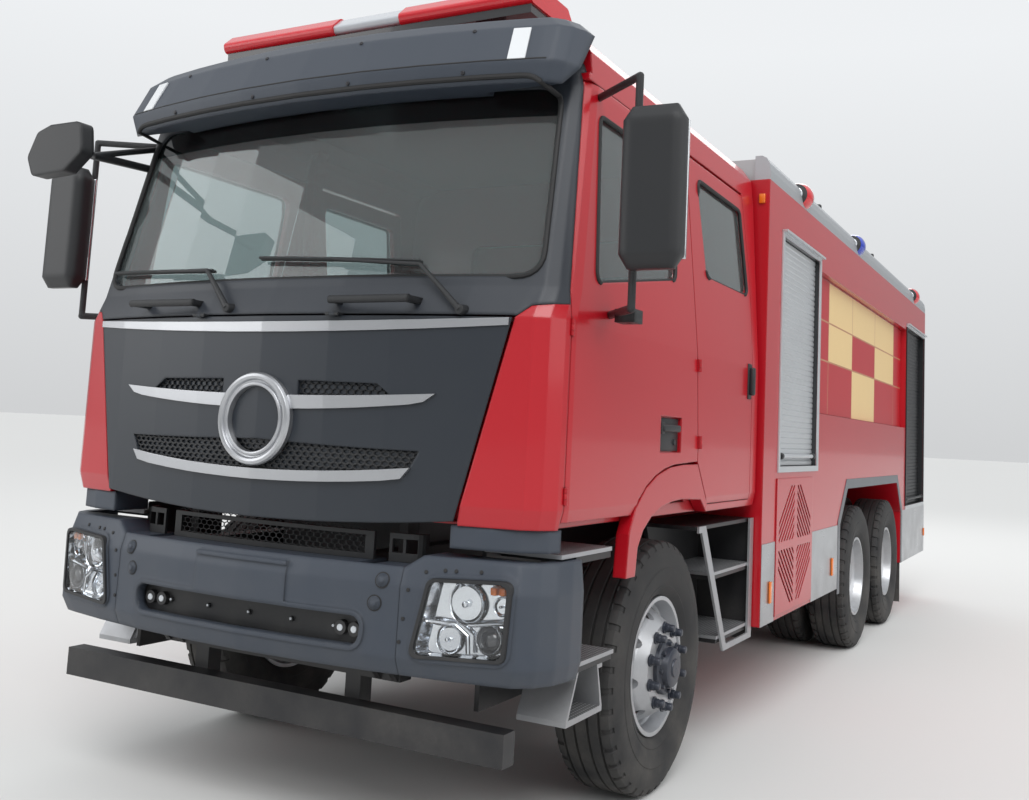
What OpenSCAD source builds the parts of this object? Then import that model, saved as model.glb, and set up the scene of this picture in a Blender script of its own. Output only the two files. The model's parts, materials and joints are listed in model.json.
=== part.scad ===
// Airport fire truck with a four-door tilting cab, three axles and a closed equipment body.
// X points to the truck's left, Y to its rear and Z up, with the tyres standing on Z = 0.
// Places along the truck are written from the front axle, and each node is then shifted so that
// the middle of its length lies on Y = 0.

/* [Overall] */
// Width across the body sides
body_w = 2500; // [2400:10:2600]
// Bumper face to the front axle
front_overhang = 1425; // [1400:5:1550]
// Front axle to the first rear axle
wheelbase = 4110; // [4000:10:4600]
// First rear axle to the second
tandem = 1350; // [1300:10:1450]
// Second rear axle to the edge of the rear step
rear_overhang = 2235; // [2100:5:2600]

/* [Wheels] */
// Diameter of a tyre
tyre_d = 1085; // [1040:5:1100]
// Width of a tyre
tyre_w = 300; // [280:5:310]
// Diameter over a rim's flanges
rim_d = 597; // [580:1:610]
// Width over a rim's flanges
rim_w = 244; // [230:2:256]
// Distance between the middles of the front tyres
front_track = 2060; // [2030:5:2080]
// Distance between the middles of the outer rear tyres
rear_track = 2190; // [2150:5:2200]
// Distance between the middles of twin tyres
twin_pitch = 350; // [335:5:360]
// Radius of the ring of hand holes
hand_hole_ring = 232; // [228:1:236]
// Hand holes in a wheel disc
hand_holes = 8; // [6:1:10]
// Radius of a hand hole
hand_hole_r = 27; // [20:1:32]

/* [Chassis] */
// Width over the frame rails
frame_w = 860; // [820:10:880]
// Depth of a frame rail
rail_h = 290; // [250:5:300]
// Top of the frame rails
rail_top = 1050; // [1030:5:1060]
// Width of a leaf spring
spring_w = 90; // [70:5:100]
// Distance from a front wheel's middle to its kingpin
kingpin_inset = 115; // [105:5:125]
// Radius of a kingpin
kingpin_r = 24; // [20:1:28]
// Radius of a front wheel spindle
spindle_r = 45; // [38:1:50]
// Running clearance of a pin in its bore
pin_play = 0.05; // [0.02:0.01:0.09]

/* [Cab] */
// Side of the body to the side of the cab doors
cab_inset = 30; // [25:1:40]
// Middle of the cab's nose to the front axle
cab_front = 1392; // [1380:2:1396]
// Back wall of the cab to the front axle
cab_rear = 1235; // [1225:5:1250]
// Underside of the cab doors and wings
cab_bottom = 1200; // [1195:1:1215]
// Top of the cab roof
cab_top = 3140; // [3120:5:3200]
// Radius of the nose seen from above
bow_r = 4740; // [4500:20:5200]
// Thickness of the cab's walls and doors
wall = 50; // [40:2:56]
// Gap between a door and its frame
door_gap = 8; // [7:0.5:10]
// Thickness of the cab's glass
glass_t = 6; // [4:1:8]
// Height of the tilt pivot
tilt_z = 780; // [770:5:790]
// Tilt pivot ahead of the front axle
tilt_y = 1270; // [1260:5:1280]
// Front mirror's face ahead of the front axle
mirror_reach = 1740; // [1700:5:1760]
// Radius of the tilt pivot pins
tilt_pin_r = 25; // [20:1:30]

/* [Front panel] */
// Lower edge of the opening front panel
panel_bottom = 1215; // [1205:1:1240]
// Upper edge of the opening front panel
panel_top = 1942; // [1936:1:1946]
// Half width of the front panel at its lower edge
panel_low_half = 872; // [860:2:884]
// Half width of the front panel at its upper edge
panel_top_half = 1044; // [1036:2:1050]
// Thickness of the front panel
panel_t = 36; // [28:2:46]

/* [Bumper] */
// Lower edge of the bumper
bumper_bottom = 672; // [660:2:690]
// Upper edge of the bumper between the lamps
bumper_top = 1045; // [1030:5:1050]
// Upper edge of the bumper over the lamps
pod_top = 1090; // [1080:2:1100]
// Thickness of the bumper shell
bumper_t = 40; // [30:2:60]
// Half width of the bumper's lower slot
slot_half = 550; // [500:5:600]

/* [Body] */
// Gap between the cab and the body
cab_gap = 42; // [35:1:60]
// Top of the body's painted sides
body_top = 3040; // [3000:10:3100]
// Underside of the front lockers
locker_bottom = 540; // [500:5:560]
// Top of the stainless skirts
skirt_top = 985; // [960:5:1000]
// Height of the aluminium rail on top of the body
rail_height = 130; // [100:5:180]
// Front shutter ahead of its rear edge
shutter_w = 930; // [880:5:960]
// Lower edge of the side shutters
shutter_low = 1410; // [1390:5:1440]
// Upper edge of the side shutters
shutter_high = 2770; // [2700:5:2800]
// Lower edge of the rear side shutters
rear_shutter_low = 1000; // [1000:5:1060]
// Upper edge of the rear side shutters
rear_shutter_high = 2750; // [2700:5:2800]
// Depth of the shutter recess
shutter_depth = 55; // [40:5:80]
// Depth of the chequered side recess
recess_depth = 60; // [40:5:80]
// Rear wheel arch's ceiling
arch_top = 1235; // [1215:5:1260]
// Depth of the rear step
rear_step = 100; // [80:5:140]

// Radius of the rear towing pin's bore
tow_bore_r = 21; // [19:0.5:25]
// Height of the middle of the rear towing jaw
tow_z = 908; // [880:2:940]
// Rear towing pin behind the body's rear face
tow_reach = 60; // [56:1:62]

/* [Roof monitor] */
// Height of the monitor's swivel axis base above the roof deck
monitor_base_h = 90; // [60:5:120]
// Length of the monitor's barrel
monitor_l = 900; // [700:10:1000]

/* [Hidden] */
$fn = 48;
half_w = body_w / 2;
axle_z = tyre_d / 2;
axle_2 = wheelbase;
axle_3 = wheelbase + tandem;
rear_end = axle_3 + rear_overhang;
body_rear = rear_end - rear_step;
body_front = cab_rear + cab_gap;
y_shift = -(rear_end - mirror_reach) / 2;
cab_half = half_w - cab_inset;
rail_x = frame_w / 2;
rail_low = rail_top - rail_h;
front_x = front_track / 2;
rear_x = rear_track / 2;
kingpin_x = front_x - kingpin_inset;
spring_x = rail_x + 25;
seam_low = [260, 1500];
seam_high = [115, 2868];
door_top = 2900;
pillar_low = [-1133, 2030];
pillar_high = [-962, 2930];
wing_rear = -1135;
arch_front = axle_2 - 800;
arch_rear = axle_3 + 590;

// Colours of the truck
red = "firebrick";
slate = "slategray";
dark = [0.12, 0.12, 0.13];
silver = "silver";
steel = [0.55, 0.56, 0.58];
clear = [0.6, 0.7, 0.75, 0.5];

// Helpers
function unit(v) = v / norm(v);
function corner(a, p, b, r, n) =
    let (u = unit(a - p), w = unit(b - p), h = acos(u * w) / 2, c = p + unit(u + w) * r / sin(h),
        s = p + u * r / tan(h) - c, e = p + w * r / tan(h) - c, a0 = atan2(s[1], s[0]),
        d = ((atan2(e[1], e[0]) - a0 + 540) % 360) - 180)
    [for (i = [0:n]) c + r * [cos(a0 + d * i / n), sin(a0 + d * i / n)]];
function rounded(pts, r, n = 4) =
    let (m = len(pts))
    [for (i = [0:m - 1]) each corner(pts[(i + m - 1) % m], pts[i], pts[(i + 1) % m], r, n)];
function bow(x) = x * x / (2 * bow_r);
function left_of(v) = [-v[1], v[0]];
// Outline moved inwards by d, for points that run anticlockwise
function inset(pts, d) =
    let (m = len(pts))
    [for (i = [0:m - 1]) let (p = pts[i], u = left_of(unit(p - pts[(i + m - 1) % m])),
        w = left_of(unit(pts[(i + 1) % m] - p))) p + (u + w) * d / (1 + u * w)];
function backwards(v) = [for (i = [len(v) - 1:-1:0]) v[i]];

module here() translate([0, y_shift, 0]) children();
module both() {
    children();
    mirror([1, 0, 0]) children();
}
module side(left) mirror([left ? 0 : 1, 0, 0]) children();
module slab(a, b) translate(a) cube(b - a);
module across(x0, x1, pts) translate([x0, 0, 0]) rotate([90, 0, 90]) linear_extrude(x1 - x0) polygon(pts);
module along(y0, y1, pts) translate([0, y1, 0]) rotate([90, 0, 0]) linear_extrude(y1 - y0) polygon(pts);
module rod_x(x0, x1, r, y, z) translate([x0, y, z]) rotate([0, 90, 0]) cylinder(h = x1 - x0, r = r);
module rod_y(y0, y1, r, x, z) translate([x, y1, z]) rotate([90, 0, 0]) cylinder(h = y1 - y0, r = r);
module rod_z(z0, z1, r, x, y) translate([x, y, z0]) cylinder(h = z1 - z0, r = r);

// Plan outline with a bowed nose and rounded corners, as one ring of points
function ring(hw, yf, yr, cw, cd) =
    let (half = concat([for (f = [0.3, 0.55, 0.8]) [f * (hw - cw), yf + bow(f * (hw - cw))]],
        [for (a = [0:22.5:90]) [hw - cw + cw * sin(a), yf + bow(hw - cw) + cd * (1 - cos(a))]], [[hw, yr]]))
    concat([[0, yf]], half, [for (p = backwards(half)) [-p[0], p[1]]]);

// Loft through rows of [height, half width, nose, corner width, corner depth], each inset by t
module loft(rows, yr, t = 0, base = 0) {
    rings = [for (r = rows) ring(r[1] - t, r[2] + t, yr, r[3], r[4])];
    n = len(rings[0]);
    last = len(rows) - 1;
    points = [for (k = [0:last]) for (p = rings[k]) [p[0], p[1],
        rows[k][0] + (k == 0 ? base : 0) - (k == last ? t : 0)]];
    walls = [for (k = [0:last - 1]) for (i = [0:n - 1]) let (a = k * n, j = (i + 1) % n)
        each [[a + i, a + n + i, a + n + j], [a + i, a + n + j, a + j]]];
    polyhedron(points, concat([[for (i = [0:n - 1]) i]], walls, [[for (i = [n - 1:-1:0]) last * n + i]]),
        convexity = 6);
}

// Cab sections: height, half width, nose at the middle, corner width, corner depth
cab_rows = [
    [cab_bottom, cab_half - 15, -cab_front + 14, 160, 175],
    [cab_bottom + 70, cab_half, -cab_front, 160, 170],
    [1945, cab_half, -cab_front + 4, 160, 165],
    [2062, cab_half - 6, -cab_front + 58, 130, 150],
    [2872, cab_half - 54, -cab_front + 257, 100, 120],
    [3020, cab_half - 70, -cab_front + 320, 110, 130],
    [3090, cab_half - 120, -cab_front + 400, 120, 140],
    [cab_top, cab_half - 300, -cab_front + 560, 160, 160]];
module cab_form(t = 0, base = 0) loft(cab_rows, cab_rear - t, t, base);

// Visor sections, as the cab's
visor_rows = [
    [2838, cab_half - 62, -1285, 130, 180],
    [2915, cab_half - 42, -1306, 130, 190],
    [3078, cab_half - 52, -1226, 130, 190],
    [3135, cab_half - 110, -1165, 140, 190],
    [3165, cab_half - 200, -1090, 160, 140]];

// Bumper sections, as the cab's
bumper_rows = [
    [bumper_bottom, half_w - 32, -front_overhang + 26, 170, 225],
    [bumper_bottom + 60, half_w - 15, -front_overhang, 170, 230],
    [980, half_w - 15, -front_overhang + 3, 170, 230],
    [pod_top, half_w - 28, -front_overhang + 36, 170, 225]];

// Outlines seen from the front
panel_outline = [[-panel_low_half, panel_bottom], [panel_low_half, panel_bottom],
    [panel_top_half, panel_top], [-panel_top_half, panel_top]];
screen_outline = rounded([[-1112, 2098], [1112, 2098], [1070, 2862], [-1070, 2862]], 95);
lamp_outline = rounded([[half_w - 485, 752], [half_w - 158, 765], [half_w - 145, 1020],
    [half_w - 428, 1008]], 28, 3);

// Outlines seen from the side, as [place behind the front axle, height]
fender_y = 60;
fender_z = 980;
function fender_arch(ry, rz, first = 0) =
    [for (i = [0:6]) let (a = first + (90 - first) * i / 6) [fender_y - ry * cos(a),
        fender_z + rz * pow(sin(a), 0.7)]];
fender_out_y = 622;
fender_out_z = 445;
fender_in_y = 528;
fender_in_z = 292;
fender_rear = 258;
sill = cab_bottom + 22;
function pillar_y(z) =
    pillar_low[0] + (z - pillar_low[1]) * (pillar_high[0] - pillar_low[0]) / (pillar_high[1] - pillar_low[1]);
door_front_outline = concat([[wing_rear, sill]], fender_arch(fender_out_y + 3, fender_out_z + 3, 24.5),
    [[fender_rear, fender_z + fender_out_z + 12], seam_low, seam_high, [seam_high[0] - 4, door_top],
        [pillar_y(door_top), door_top], pillar_low]);
door_rear_outline = [[fender_rear + 2, fender_z + fender_out_z + 12], [420, cab_bottom + 35],
    [1125, cab_bottom + 35],
    [1125, 2400], [1012, door_top - 12], [seam_high[0] - 3, door_top - 12], seam_high, seam_low];
window_front_outline = rounded([[-935, 2110], [-75, 2250], [-25, 2775], [-880, 2780]], 45, 3);
window_rear_outline = rounded([[372, 2335], [1055, 2335], [955, 2790], [262, 2800]], 45, 3);
// Opening for both doors in the side of the shell, reaching past the pillar
door_opening = concat([[wing_rear - 20, sill]], fender_arch(fender_out_y + 3, fender_out_z + 3, 24.5),
    [[fender_rear, fender_z + fender_out_z + 12], [420, cab_bottom + 35], [1125, cab_bottom + 35],
        [1125, 2400], [1010, door_top], [pillar_y(door_top) - 20, door_top],
            [wing_rear - 20, pillar_low[1]]]);
nose_outline = [[-1700, cab_bottom - 60], [wing_rear, cab_bottom - 60], [wing_rear, pillar_low[1] - 18],
    pillar_low, pillar_high, [pillar_high[0], 3000], [-1700, 3000]];
wing_outline = [[panel_low_half + door_gap, cab_bottom - 40], [panel_low_half + door_gap, panel_bottom],
    [panel_top_half + 12, panel_top], [1105, 1985], [cab_half + 40, 2010], [cab_half + 40, cab_bottom - 40]];

// Hinges: the cab's side has two barrels with the pin, and the moving side the barrel between them
barrel_r = 8;
hinge_pin_r = 4;
hinge_l = 60;
hinge_end = 18;
front_hinges = [1290, 1890];
rear_hinges = [1500, 1860];
seam_lean = atan2(seam_low[0] - seam_high[0], seam_high[1] - seam_low[1]);
module at_front_hinges() for (z = front_hinges)
    translate([cab_half - 2, wing_rear + door_gap / 2, z]) children();
module at_rear_hinges() for (z = rear_hinges)
    translate([cab_half + 10, seam_low[0] + 10 - (z - seam_low[1]) * tan(seam_lean), z])
        rotate([seam_lean, 0, 0]) children();
module barrel(lo, hi, r) translate([0, 0, lo]) cylinder(h = hi - lo, r = r);
module hinge_ends() {
    barrel(0, hinge_end, barrel_r);
    barrel(hinge_l - hinge_end, hinge_l, barrel_r);
    barrel(0, hinge_l, hinge_pin_r);
}
module hinge_middle() barrel(hinge_end + 0.5, hinge_l - hinge_end - 0.5, barrel_r);
module hinge_bore() {
    barrel(-1, hinge_end + 0.5, barrel_r + 1);
    barrel(hinge_l - hinge_end - 0.5, hinge_l + 1, barrel_r + 1);
    barrel(-1, hinge_l + 1, hinge_pin_r + pin_play);
}

// Cab
// Section of the cab behind its nose, anticlockwise from the left side's lower edge
cab_side = [for (r = cab_rows) [r[1], r[0]]];
cab_section = concat(cab_side, [for (p = backwards(cab_side)) [-p[0], p[1]]]);
roof_front = -940;
nose_top = 1985;
// Solid nose behind the front panel, grown by t
module nose_block(t = 0) translate([0, 0, cab_bottom - t]) linear_extrude(nose_top - cab_bottom + 2 * t)
    polygon(ring(cab_half - 55 + t, -cab_front + 73 - t, wing_rear, 130, nose_depth));
nose_depth = wing_rear - 9 + cab_front - 73 - bow(cab_half - 55 - 130);

tunnel_half = 470;
tunnel_rear = 410;
tunnel_top = 1560;
tunnel_t = 30;
module cab_shell() here() color(red) {
    difference() {
        along(wing_rear, cab_rear, cab_section);
        difference() {
            along(wing_rear - 10, cab_rear - wall, inset(cab_section, wall));
            slab([-tunnel_half, -1200, cab_bottom], [tunnel_half, tunnel_rear, tunnel_top]);
        }
        engine_room();
        across(-cab_half - 50, cab_half + 50, concat([[-1700, pillar_low[1]]], [pillar_low, pillar_high],
            [[roof_front, pillar_high[1]], [roof_front, 3300], [-1700, 3300]]));
        both() {
            across(cab_half - door_depth - 10, cab_half + 60, door_opening);
            across(cab_half - 60, cab_half + 60, fender_hole);
        }
        along(1000, 1300, rounded([[-700, 2150], [700, 2150], [660, 2700], [-660, 2700]], 60));
    }
    both() b_pillar();
    difference() {
        nose_block();
        along(-1500, -1198, inset(panel_outline, -door_gap));
        engine_room();
    }
}
module engine_room() slab([-tunnel_half + tunnel_t, wing_rear + tunnel_t, cab_bottom - 10],
    [tunnel_half - tunnel_t, tunnel_rear - tunnel_t, tunnel_top - tunnel_t]);
// Posts behind the seams between the doors
pillar_half = 40;
pillar_side = concat([for (k = [0:5]) cab_side[k]], [[cab_half - 109, 3075]]);
module b_pillar() intersection() {
    along(-200, 600, concat([for (p = pillar_side) p - [wall + 6, 0]],
        [for (p = backwards(pillar_side)) p - [wall + 60, 0]]));
    across(0, cab_half, [[287 - pillar_half, cab_bottom + wall - 5],
        [287 + pillar_half, cab_bottom + wall - 5],
        [94 + pillar_half, 3075], [94 - pillar_half, 3075]]);
}
fender_hole = concat([[wing_rear - 10, cab_bottom - 30], [wing_rear - 10, sill + 2]],
    fender_arch(fender_out_y + 6, fender_out_z + 6, 24.5),
    [[fender_rear + 4, fender_z + fender_out_z + 16], [425, cab_bottom + 37], [425, cab_bottom - 30]]);
lug_x = 520;
lug_t = 40;
// Lugs under the cab floor bend rearwards, to pass the bumper when the cab tilts
module cab_hinges() here() color(dark) {
    both() {
        difference() {
            across(lug_x, lug_x + lug_t, [for (p = [[-45, -10], [-25, -42], [25, -42], [60, -5],
                [215, 190], [215, 420],
                [140, 420], [140, 225], [-38, 32]]) [p[0] - tilt_y, p[1] + tilt_z]]);
            rod_x(lug_x - 5, lug_x + lug_t + 5, tilt_pin_r + pin_play, -tilt_y, tilt_z);
        }
        at_front_hinges() {
            hinge_ends();
            difference() {
                slab([-108, -door_gap / 2, 0], [0, 0.6 - door_gap / 2 + 2.8, hinge_l]);
                barrel(hinge_end, hinge_l - hinge_end, barrel_r + 1);
            }
        }
        at_rear_hinges() {
            hinge_ends();
            difference() {
                union() {
                    slab([-65.7, -11, 0], [-4, -8, hinge_l]);
                    slab([-7, -11, 0], [0, 0, hinge_l]);
                }
                barrel(hinge_end, hinge_l - hinge_end, barrel_r + 1.5);
            }
        }
        for (x = [310, 352]) {
            rod_x(x, x + 18, 7, panel_hinge[0], panel_hinge[1]);
            slab([x, panel_hinge[0], panel_top + 2], [x + 18, -1300, panel_top + 7.7]);
        }
        rod_x(310, 370, 3.5, panel_hinge[0], panel_hinge[1]);
    }
}
panel_hinge = [-1396, panel_top + 4];
module door_blank(outline, depth) intersection() {
    difference() {
        cab_form();
        cab_form(wall);
    }
    across(cab_half - depth, cab_half + 60, inset(outline, door_gap / 2));
}
door_depth = 140;
module door_front(left) here() color(red) side(left) difference() {
    union() {
        door_blank(door_front_outline, door_depth);
        at_front_hinges() hinge_middle();
    }
    across(cab_half - 200, cab_half + 60, window_front_outline);
    slab([cab_half - 22, -232, 1480], [cab_half + 40, 26, 1636]);
    at_front_hinges() hinge_bore();
}
module door_rear(left) here() color(red) side(left) difference() {
    union() {
        door_blank(door_rear_outline, door_depth);
        at_rear_hinges() {
            hinge_middle();
            slab([-10.5, 0, hinge_end + 0.5], [-3, 42, hinge_l - hinge_end - 0.5]);
        }
    }
    across(cab_half - 200, cab_half + 60, window_rear_outline);
    at_rear_hinges() hinge_bore();
}
// Glass lies in the thickness of its panel
module pane(outline, depth) intersection() {
    difference() {
        cab_form(glass_t + 6);
        cab_form(2 * glass_t + 6);
    }
    across(cab_half - depth, cab_half + 60, inset(outline, 0.3));
}
module glass_front(left) here() color(clear) side(left) pane(window_front_outline, 160);
module glass_rear(left) here() color(clear) side(left) pane(window_rear_outline, 160);
module windscreen() here() color(clear) intersection() {
    difference() {
        cab_form(glass_t + 6);
        cab_form(2 * glass_t + 6);
    }
    along(-1500, -900, inset(screen_outline, 0.3));
}
// Cowl under the windscreen and the dark trims of the front pillars, in one piece
module surround() here() color(slate) difference() {
    intersection() {
        cab_form();
        across(-cab_half - 50, cab_half + 50, concat([[-1700, panel_top + door_gap],
            [wing_rear - 0.3, panel_top + door_gap],
            [wing_rear - 0.3, pillar_low[1] - 18], pillar_low - [0.3, 0], pillar_high - [0.3, 0],
            [roof_front - 0.3, pillar_high[1]], [roof_front - 0.3, 3200], [-1700, 3200]]));
    }
    intersection() {
        cab_form(wall);
        slab([-cab_half, -1600, nose_top + 10], [cab_half, -900, 3200]);
    }
    nose_block(0.3);
    along(-1500, -700, screen_outline);
    both() along(-1500, -900, wing_top);
}
wing_top = [[panel_top_half - 50, panel_top - 20], [panel_top_half - 50, panel_top + 3],
    [panel_top_half + 12, panel_top + 3], [1105, 1988], [cab_half + 60, 2013],
        [cab_half + 60, panel_top - 20]];
module wings() here() color(red) both() {
    difference() {
        intersection() {
            cab_form();
            across(0, cab_half + 60, inset(nose_outline, 0.3));
            along(-1500, -900, wing_outline);
        }
        nose_block(0.3);
        at_front_hinges() barrel(-1, hinge_l + 1, barrel_r + 1);
    }
    across(cab_half - 55.5, cab_half + 2, concat(fender_arch(fender_out_y, fender_out_z),
        [[fender_rear, fender_z + fender_out_z + 2], [412, cab_bottom + 34], [402, cab_bottom],
            [316, fender_z + fender_in_z - 10]],
        backwards(fender_arch(fender_in_y, fender_in_z))));
}

module visor() here() color(slate) difference() {
    loft(visor_rows, roof_front, 0, 0);
    cab_form();
    slab([-half_w, roof_front, 2800], [half_w, roof_front + 200, 3200]);
    across(-1300, 1300, [[-1400, 2700], [-900, 2700], [-900, 2838], [-1255, 2838], [-1330, 2780]]);
    both() across(800, 1300, [[-1117, 2830], [-1117, 2838], [-1066, 2909], [-935, 3090], [-900, 3090],
        [-900, 2830]]);
}
light_half = 845;
light_outline = rounded([[-884, 3292], [-516, 3292], [-500, 3330], [-560, 3388], [-840, 3388],
    [-900, 3330]], 22, 3);
module light_bar() here() color(red) {
    both() across(182, light_half, light_outline);
    across(-181.7, 181.7, inset(light_outline, 8));
    slab([-light_half + 10, -872, 3254], [light_half - 10, -528, 3292]);
    both() slab([500, -760, cab_top], [580, -640, 3254]);
    both() visor_lamp();
}
// White marker lamp that lies on the visor's face
module visor_lamp() difference() {
    translate([958, -1164, 2992]) rotate([-25, 0, 12]) slab([-35, -12, -80], [35, 30, 80]);
    loft([for (r = visor_rows) [r[0], r[1] + 0.3, r[2] - 0.3, r[3], r[4]]], -930);
}
module front_trim() here() color(dark) {
    for (x = [-560, 505]) {
        translate([x, bow(x) - cab_front - 34, 2000]) rotate([0, 90, 0])
            cylinder(h = 360, r = 15, center = true);
        difference() {
            for (e = [-165, 165])
                slab([x + e - 14, bow(x) - cab_front - 34, 1988],
                    [x + e + 14, bow(x) - cab_front + 60, 2012]);
            cab_form(-0.3);
        }
    }
    front_mirror();
    corner_blocks();
}
// Dark blocks below the corner wings
module corner_blocks() both() translate([0, 0, 1120]) linear_extrude(cab_bottom - 1120.3)
    polygon([[851, -1292], [1000, -1268], [1100, -1235], [1180, -1165], [1198, -1110], [851, -1110]]);
module bar(a, b, r) hull() {
    translate(a) sphere(r, $fn = 12);
    translate(b) sphere(r, $fn = 12);
}
mirror_z = 2590;
mirror_outline = rounded([[-1030, mirror_z - 20], [-980, mirror_z + 80], [-900, mirror_z + 105],
    [-720, mirror_z + 105],
    [-700, mirror_z - 20], [-800, mirror_z - 95], [-990, mirror_z - 105]], 30, 3);
module front_mirror() {
    along(-mirror_reach, -mirror_reach + 60, mirror_outline);
    difference() {
        union() {
            bar([-760, -mirror_reach + 50, mirror_z + 10], [-1000, -1450, mirror_z + 60], 16);
            bar([-1000, -1450, mirror_z + 60], [-1115, -1040, 2700], 18);
            bar([-1000, -1450, mirror_z + 60], [-1115, -1015, 2800], 14);
        }
        cab_form(-0.3);
    }
}
module dashboard() here() color(dark) {
    intersection() {
        across(-cab_half + 130, cab_half - 130, [[wing_rear, 1600], [-900, 1600], [-780, 1800], [-800, 1960],
            [-900, 2010], [-1060, 2060], [-1290, 2060], [-1290, nose_top + 10.3],
            [wing_rear, nose_top + 10.3]]);
        cab_form(wall + 0.7);
    }
    difference() {
        translate(wheel_at) rotate([-wheel_lean, 0, 0]) union() {
            translate([0, 0, -360]) cylinder(h = 299.5, r = 42);
            slab([-45, -180, -360], [45, 0, -240]);
        }
        translate(wheel_at) rotate([-wheel_lean, 0, 0]) translate([0, 0, -140])
            cylinder(h = 100, r = 15 + pin_play);
    }
}
module seat(x, y, w) {
    slab([x - w / 2, y, 1620], [x + w / 2, y + 480, 1740]);
    across(x - w / 2, x + w / 2, [[y + 420, 1740.3], [y + 540, 1740.3], [y + 660, 2420], [y + 560, 2430]]);
    slab([x - w / 2 + 60, y + 60, cab_bottom + wall], [x + w / 2 - 60, y + 400, 1620]);
}
module seats() here() color(dark) {
    both() seat(760, -560, 500);
    slab([-1050, 620, 1620], [1050, 1060, 1740]);
    across(-1050, 1050, [[1030, 1740.3], [1140, 1740.3], [1175, 2420], [1100, 2430]]);
    slab([-1000, 660, cab_bottom + wall], [1000, 1000, 1620]);
}
wheel_at = [590, -620, 2010];
wheel_lean = 28;
module steering_wheel() here() color(dark) translate(wheel_at) rotate([-wheel_lean, 0, 0]) {
    rotate_extrude($fn = 32) translate([225, 0]) circle(15, $fn = 16);
    cylinder(h = 50, r = 60, center = true);
    for (a = [0, 120, 240]) rotate(a + 90) translate([0, -15, -8]) cube([220, 30, 16]);
    translate([0, 0, -130]) cylinder(h = 130, r = 15);
    translate([0, 0, -60.5]) cylinder(h = 60, r = 40);
}

// Opening front panel, hinged along its upper edge. Its sides are bevelled to the back, so that its
// upper corners pass the wings when it opens, and its lower edge bows down to the middle
chin_drop = 46;
mesh_depth = 18;
bevel_run = panel_top_half + 40 - panel_low_half;
bevel_lean = atan(bevel_run / ((panel_top - panel_bottom) * sqrt(2)));
module panel_prism(t, low = panel_bottom - chin_drop, high = panel_top) translate([0, 0, low])
    linear_extrude(high - low) polygon(ring(cab_half - t, -cab_front + t, -1100, 160, 170));
module front_panel() here() color(dark) {
    difference() {
        panel_prism(0);
        panel_prism(panel_t, panel_bottom - chin_drop - 10, panel_top + 10);
        slab([-1300, -1185, 1000], [1300, -1000, 2100]);
        both() translate([panel_low_half + 188, -1500, panel_bottom]) rotate([0, bevel_lean, 45])
            translate([0, -1500, -1500]) cube(3000);
        along(-1500, -1100, concat([[-1000, panel_bottom - 80], [1000, panel_bottom - 80],
            [1000, panel_bottom]],
            [for (i = [6:-1:-6]) [panel_low_half * i / 6, panel_bottom - chin_drop * (1 - pow(i / 6, 2))]],
            [[-1000, panel_bottom]]));
        difference() {
            union() {
                along(-1700, -1250, low_field);
                both() along(-1700, -1250, high_field);
            }
            panel_prism(mesh_depth, panel_bottom, panel_top);
        }
    }
    both() difference() {
        union() {
            rod_x(328.5, 351.5, 7, panel_hinge[0], panel_hinge[1]);
            slab([328.5, panel_hinge[0] - 1, panel_top - 5.5], [351.5, -1366, panel_top + 2]);
        }
        rod_x(320, 360, 3.5 + pin_play, panel_hinge[0], panel_hinge[1]);
    }
}
// Fields for the mesh over the lower bar and over the middle bar, seen from the front
low_field = concat([for (i = [-6:6]) let (x = 690 * i / 6) [x, smile(1352, 40, 700, x) - 4]], [[725, 1452]],
    [for (i = [5:-1:-5]) [690 * i / 6, 1452 + 14 * pow(1 - abs(i) / 6, 2)]], [[-725, 1452]]);
high_field = concat([for (i = [0:4]) let (x = 190 + 412 * i / 4) [x, smile(1636, 24, 780, x) - 4]],
    [[540, 1690], [190, 1694]]);
// Bars on the front panel: height of the lower and upper edge at the middle, their rise towards the
// ends, half length, inner end, depth of the slanted end, and how far the bar stands out
chrome_bars = [
    [1879, 1919, 34, 21, panel_top_half - 6, 0, 0, 8],
    [1583, 1636, 46, 24, 780, 150, 45, 11],
    [1312, 1352, 39, 40, 700, 0, 35, 15]];
function smile(base, rise, half, x) = base + rise * pow(x / half, 2);
function bar_outline(r, grow = 0) = let (half = r[4], steps = [for (i = [0:6]) r[5] + (half - r[5]) * i / 6])
    concat([for (x = steps) [x - (x == half ? r[6] : 0), smile(r[0], r[2], half, x) - grow]],
        [for (x = backwards(steps)) [x, smile(r[1], r[3], half, x) + grow]]);
ring_z = 1541;
module panel_chrome() here() color(silver) {
    difference() {
        union() {
            for (r = chrome_bars) intersection() {
                panel_prism(-r[7], 1250, panel_top);
                bar_shape(r);
            }
            translate([0, -cab_front + 12, ring_z]) rotate([90, 0, 0]) rotate_extrude($fn = 64)
                polygon([[146, 0], [180, 0], [180, 26], [174, 36], [164, 40], [154, 36], [149, 26], [143, 24],
                    [140, 32], [134, 35], [128, 32], [125, 14], [125, 0]]);
        }
        panel_prism(-0.3, 1200, panel_top + 40);
    }
}
module bar_shape(r) if (r[5] > 0) both() along(-1600, -1200, bar_outline(r));
    else along(-1600, -1200, let (o = bar_outline(r), n = len(o) / 2)
        concat([for (i = [n - 1:-1:1]) [-o[i][0], o[i][1]]], [for (i = [0:n - 1]) o[i]],
            [for (i = [n:2 * n - 1]) o[i]],
            [for (i = [2 * n - 2:-1:n]) [-o[i][0], o[i][1]]]));

// Bumper and lamps
module bumper_form(t = 0) loft(bumper_rows, -980, t, 0);
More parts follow.
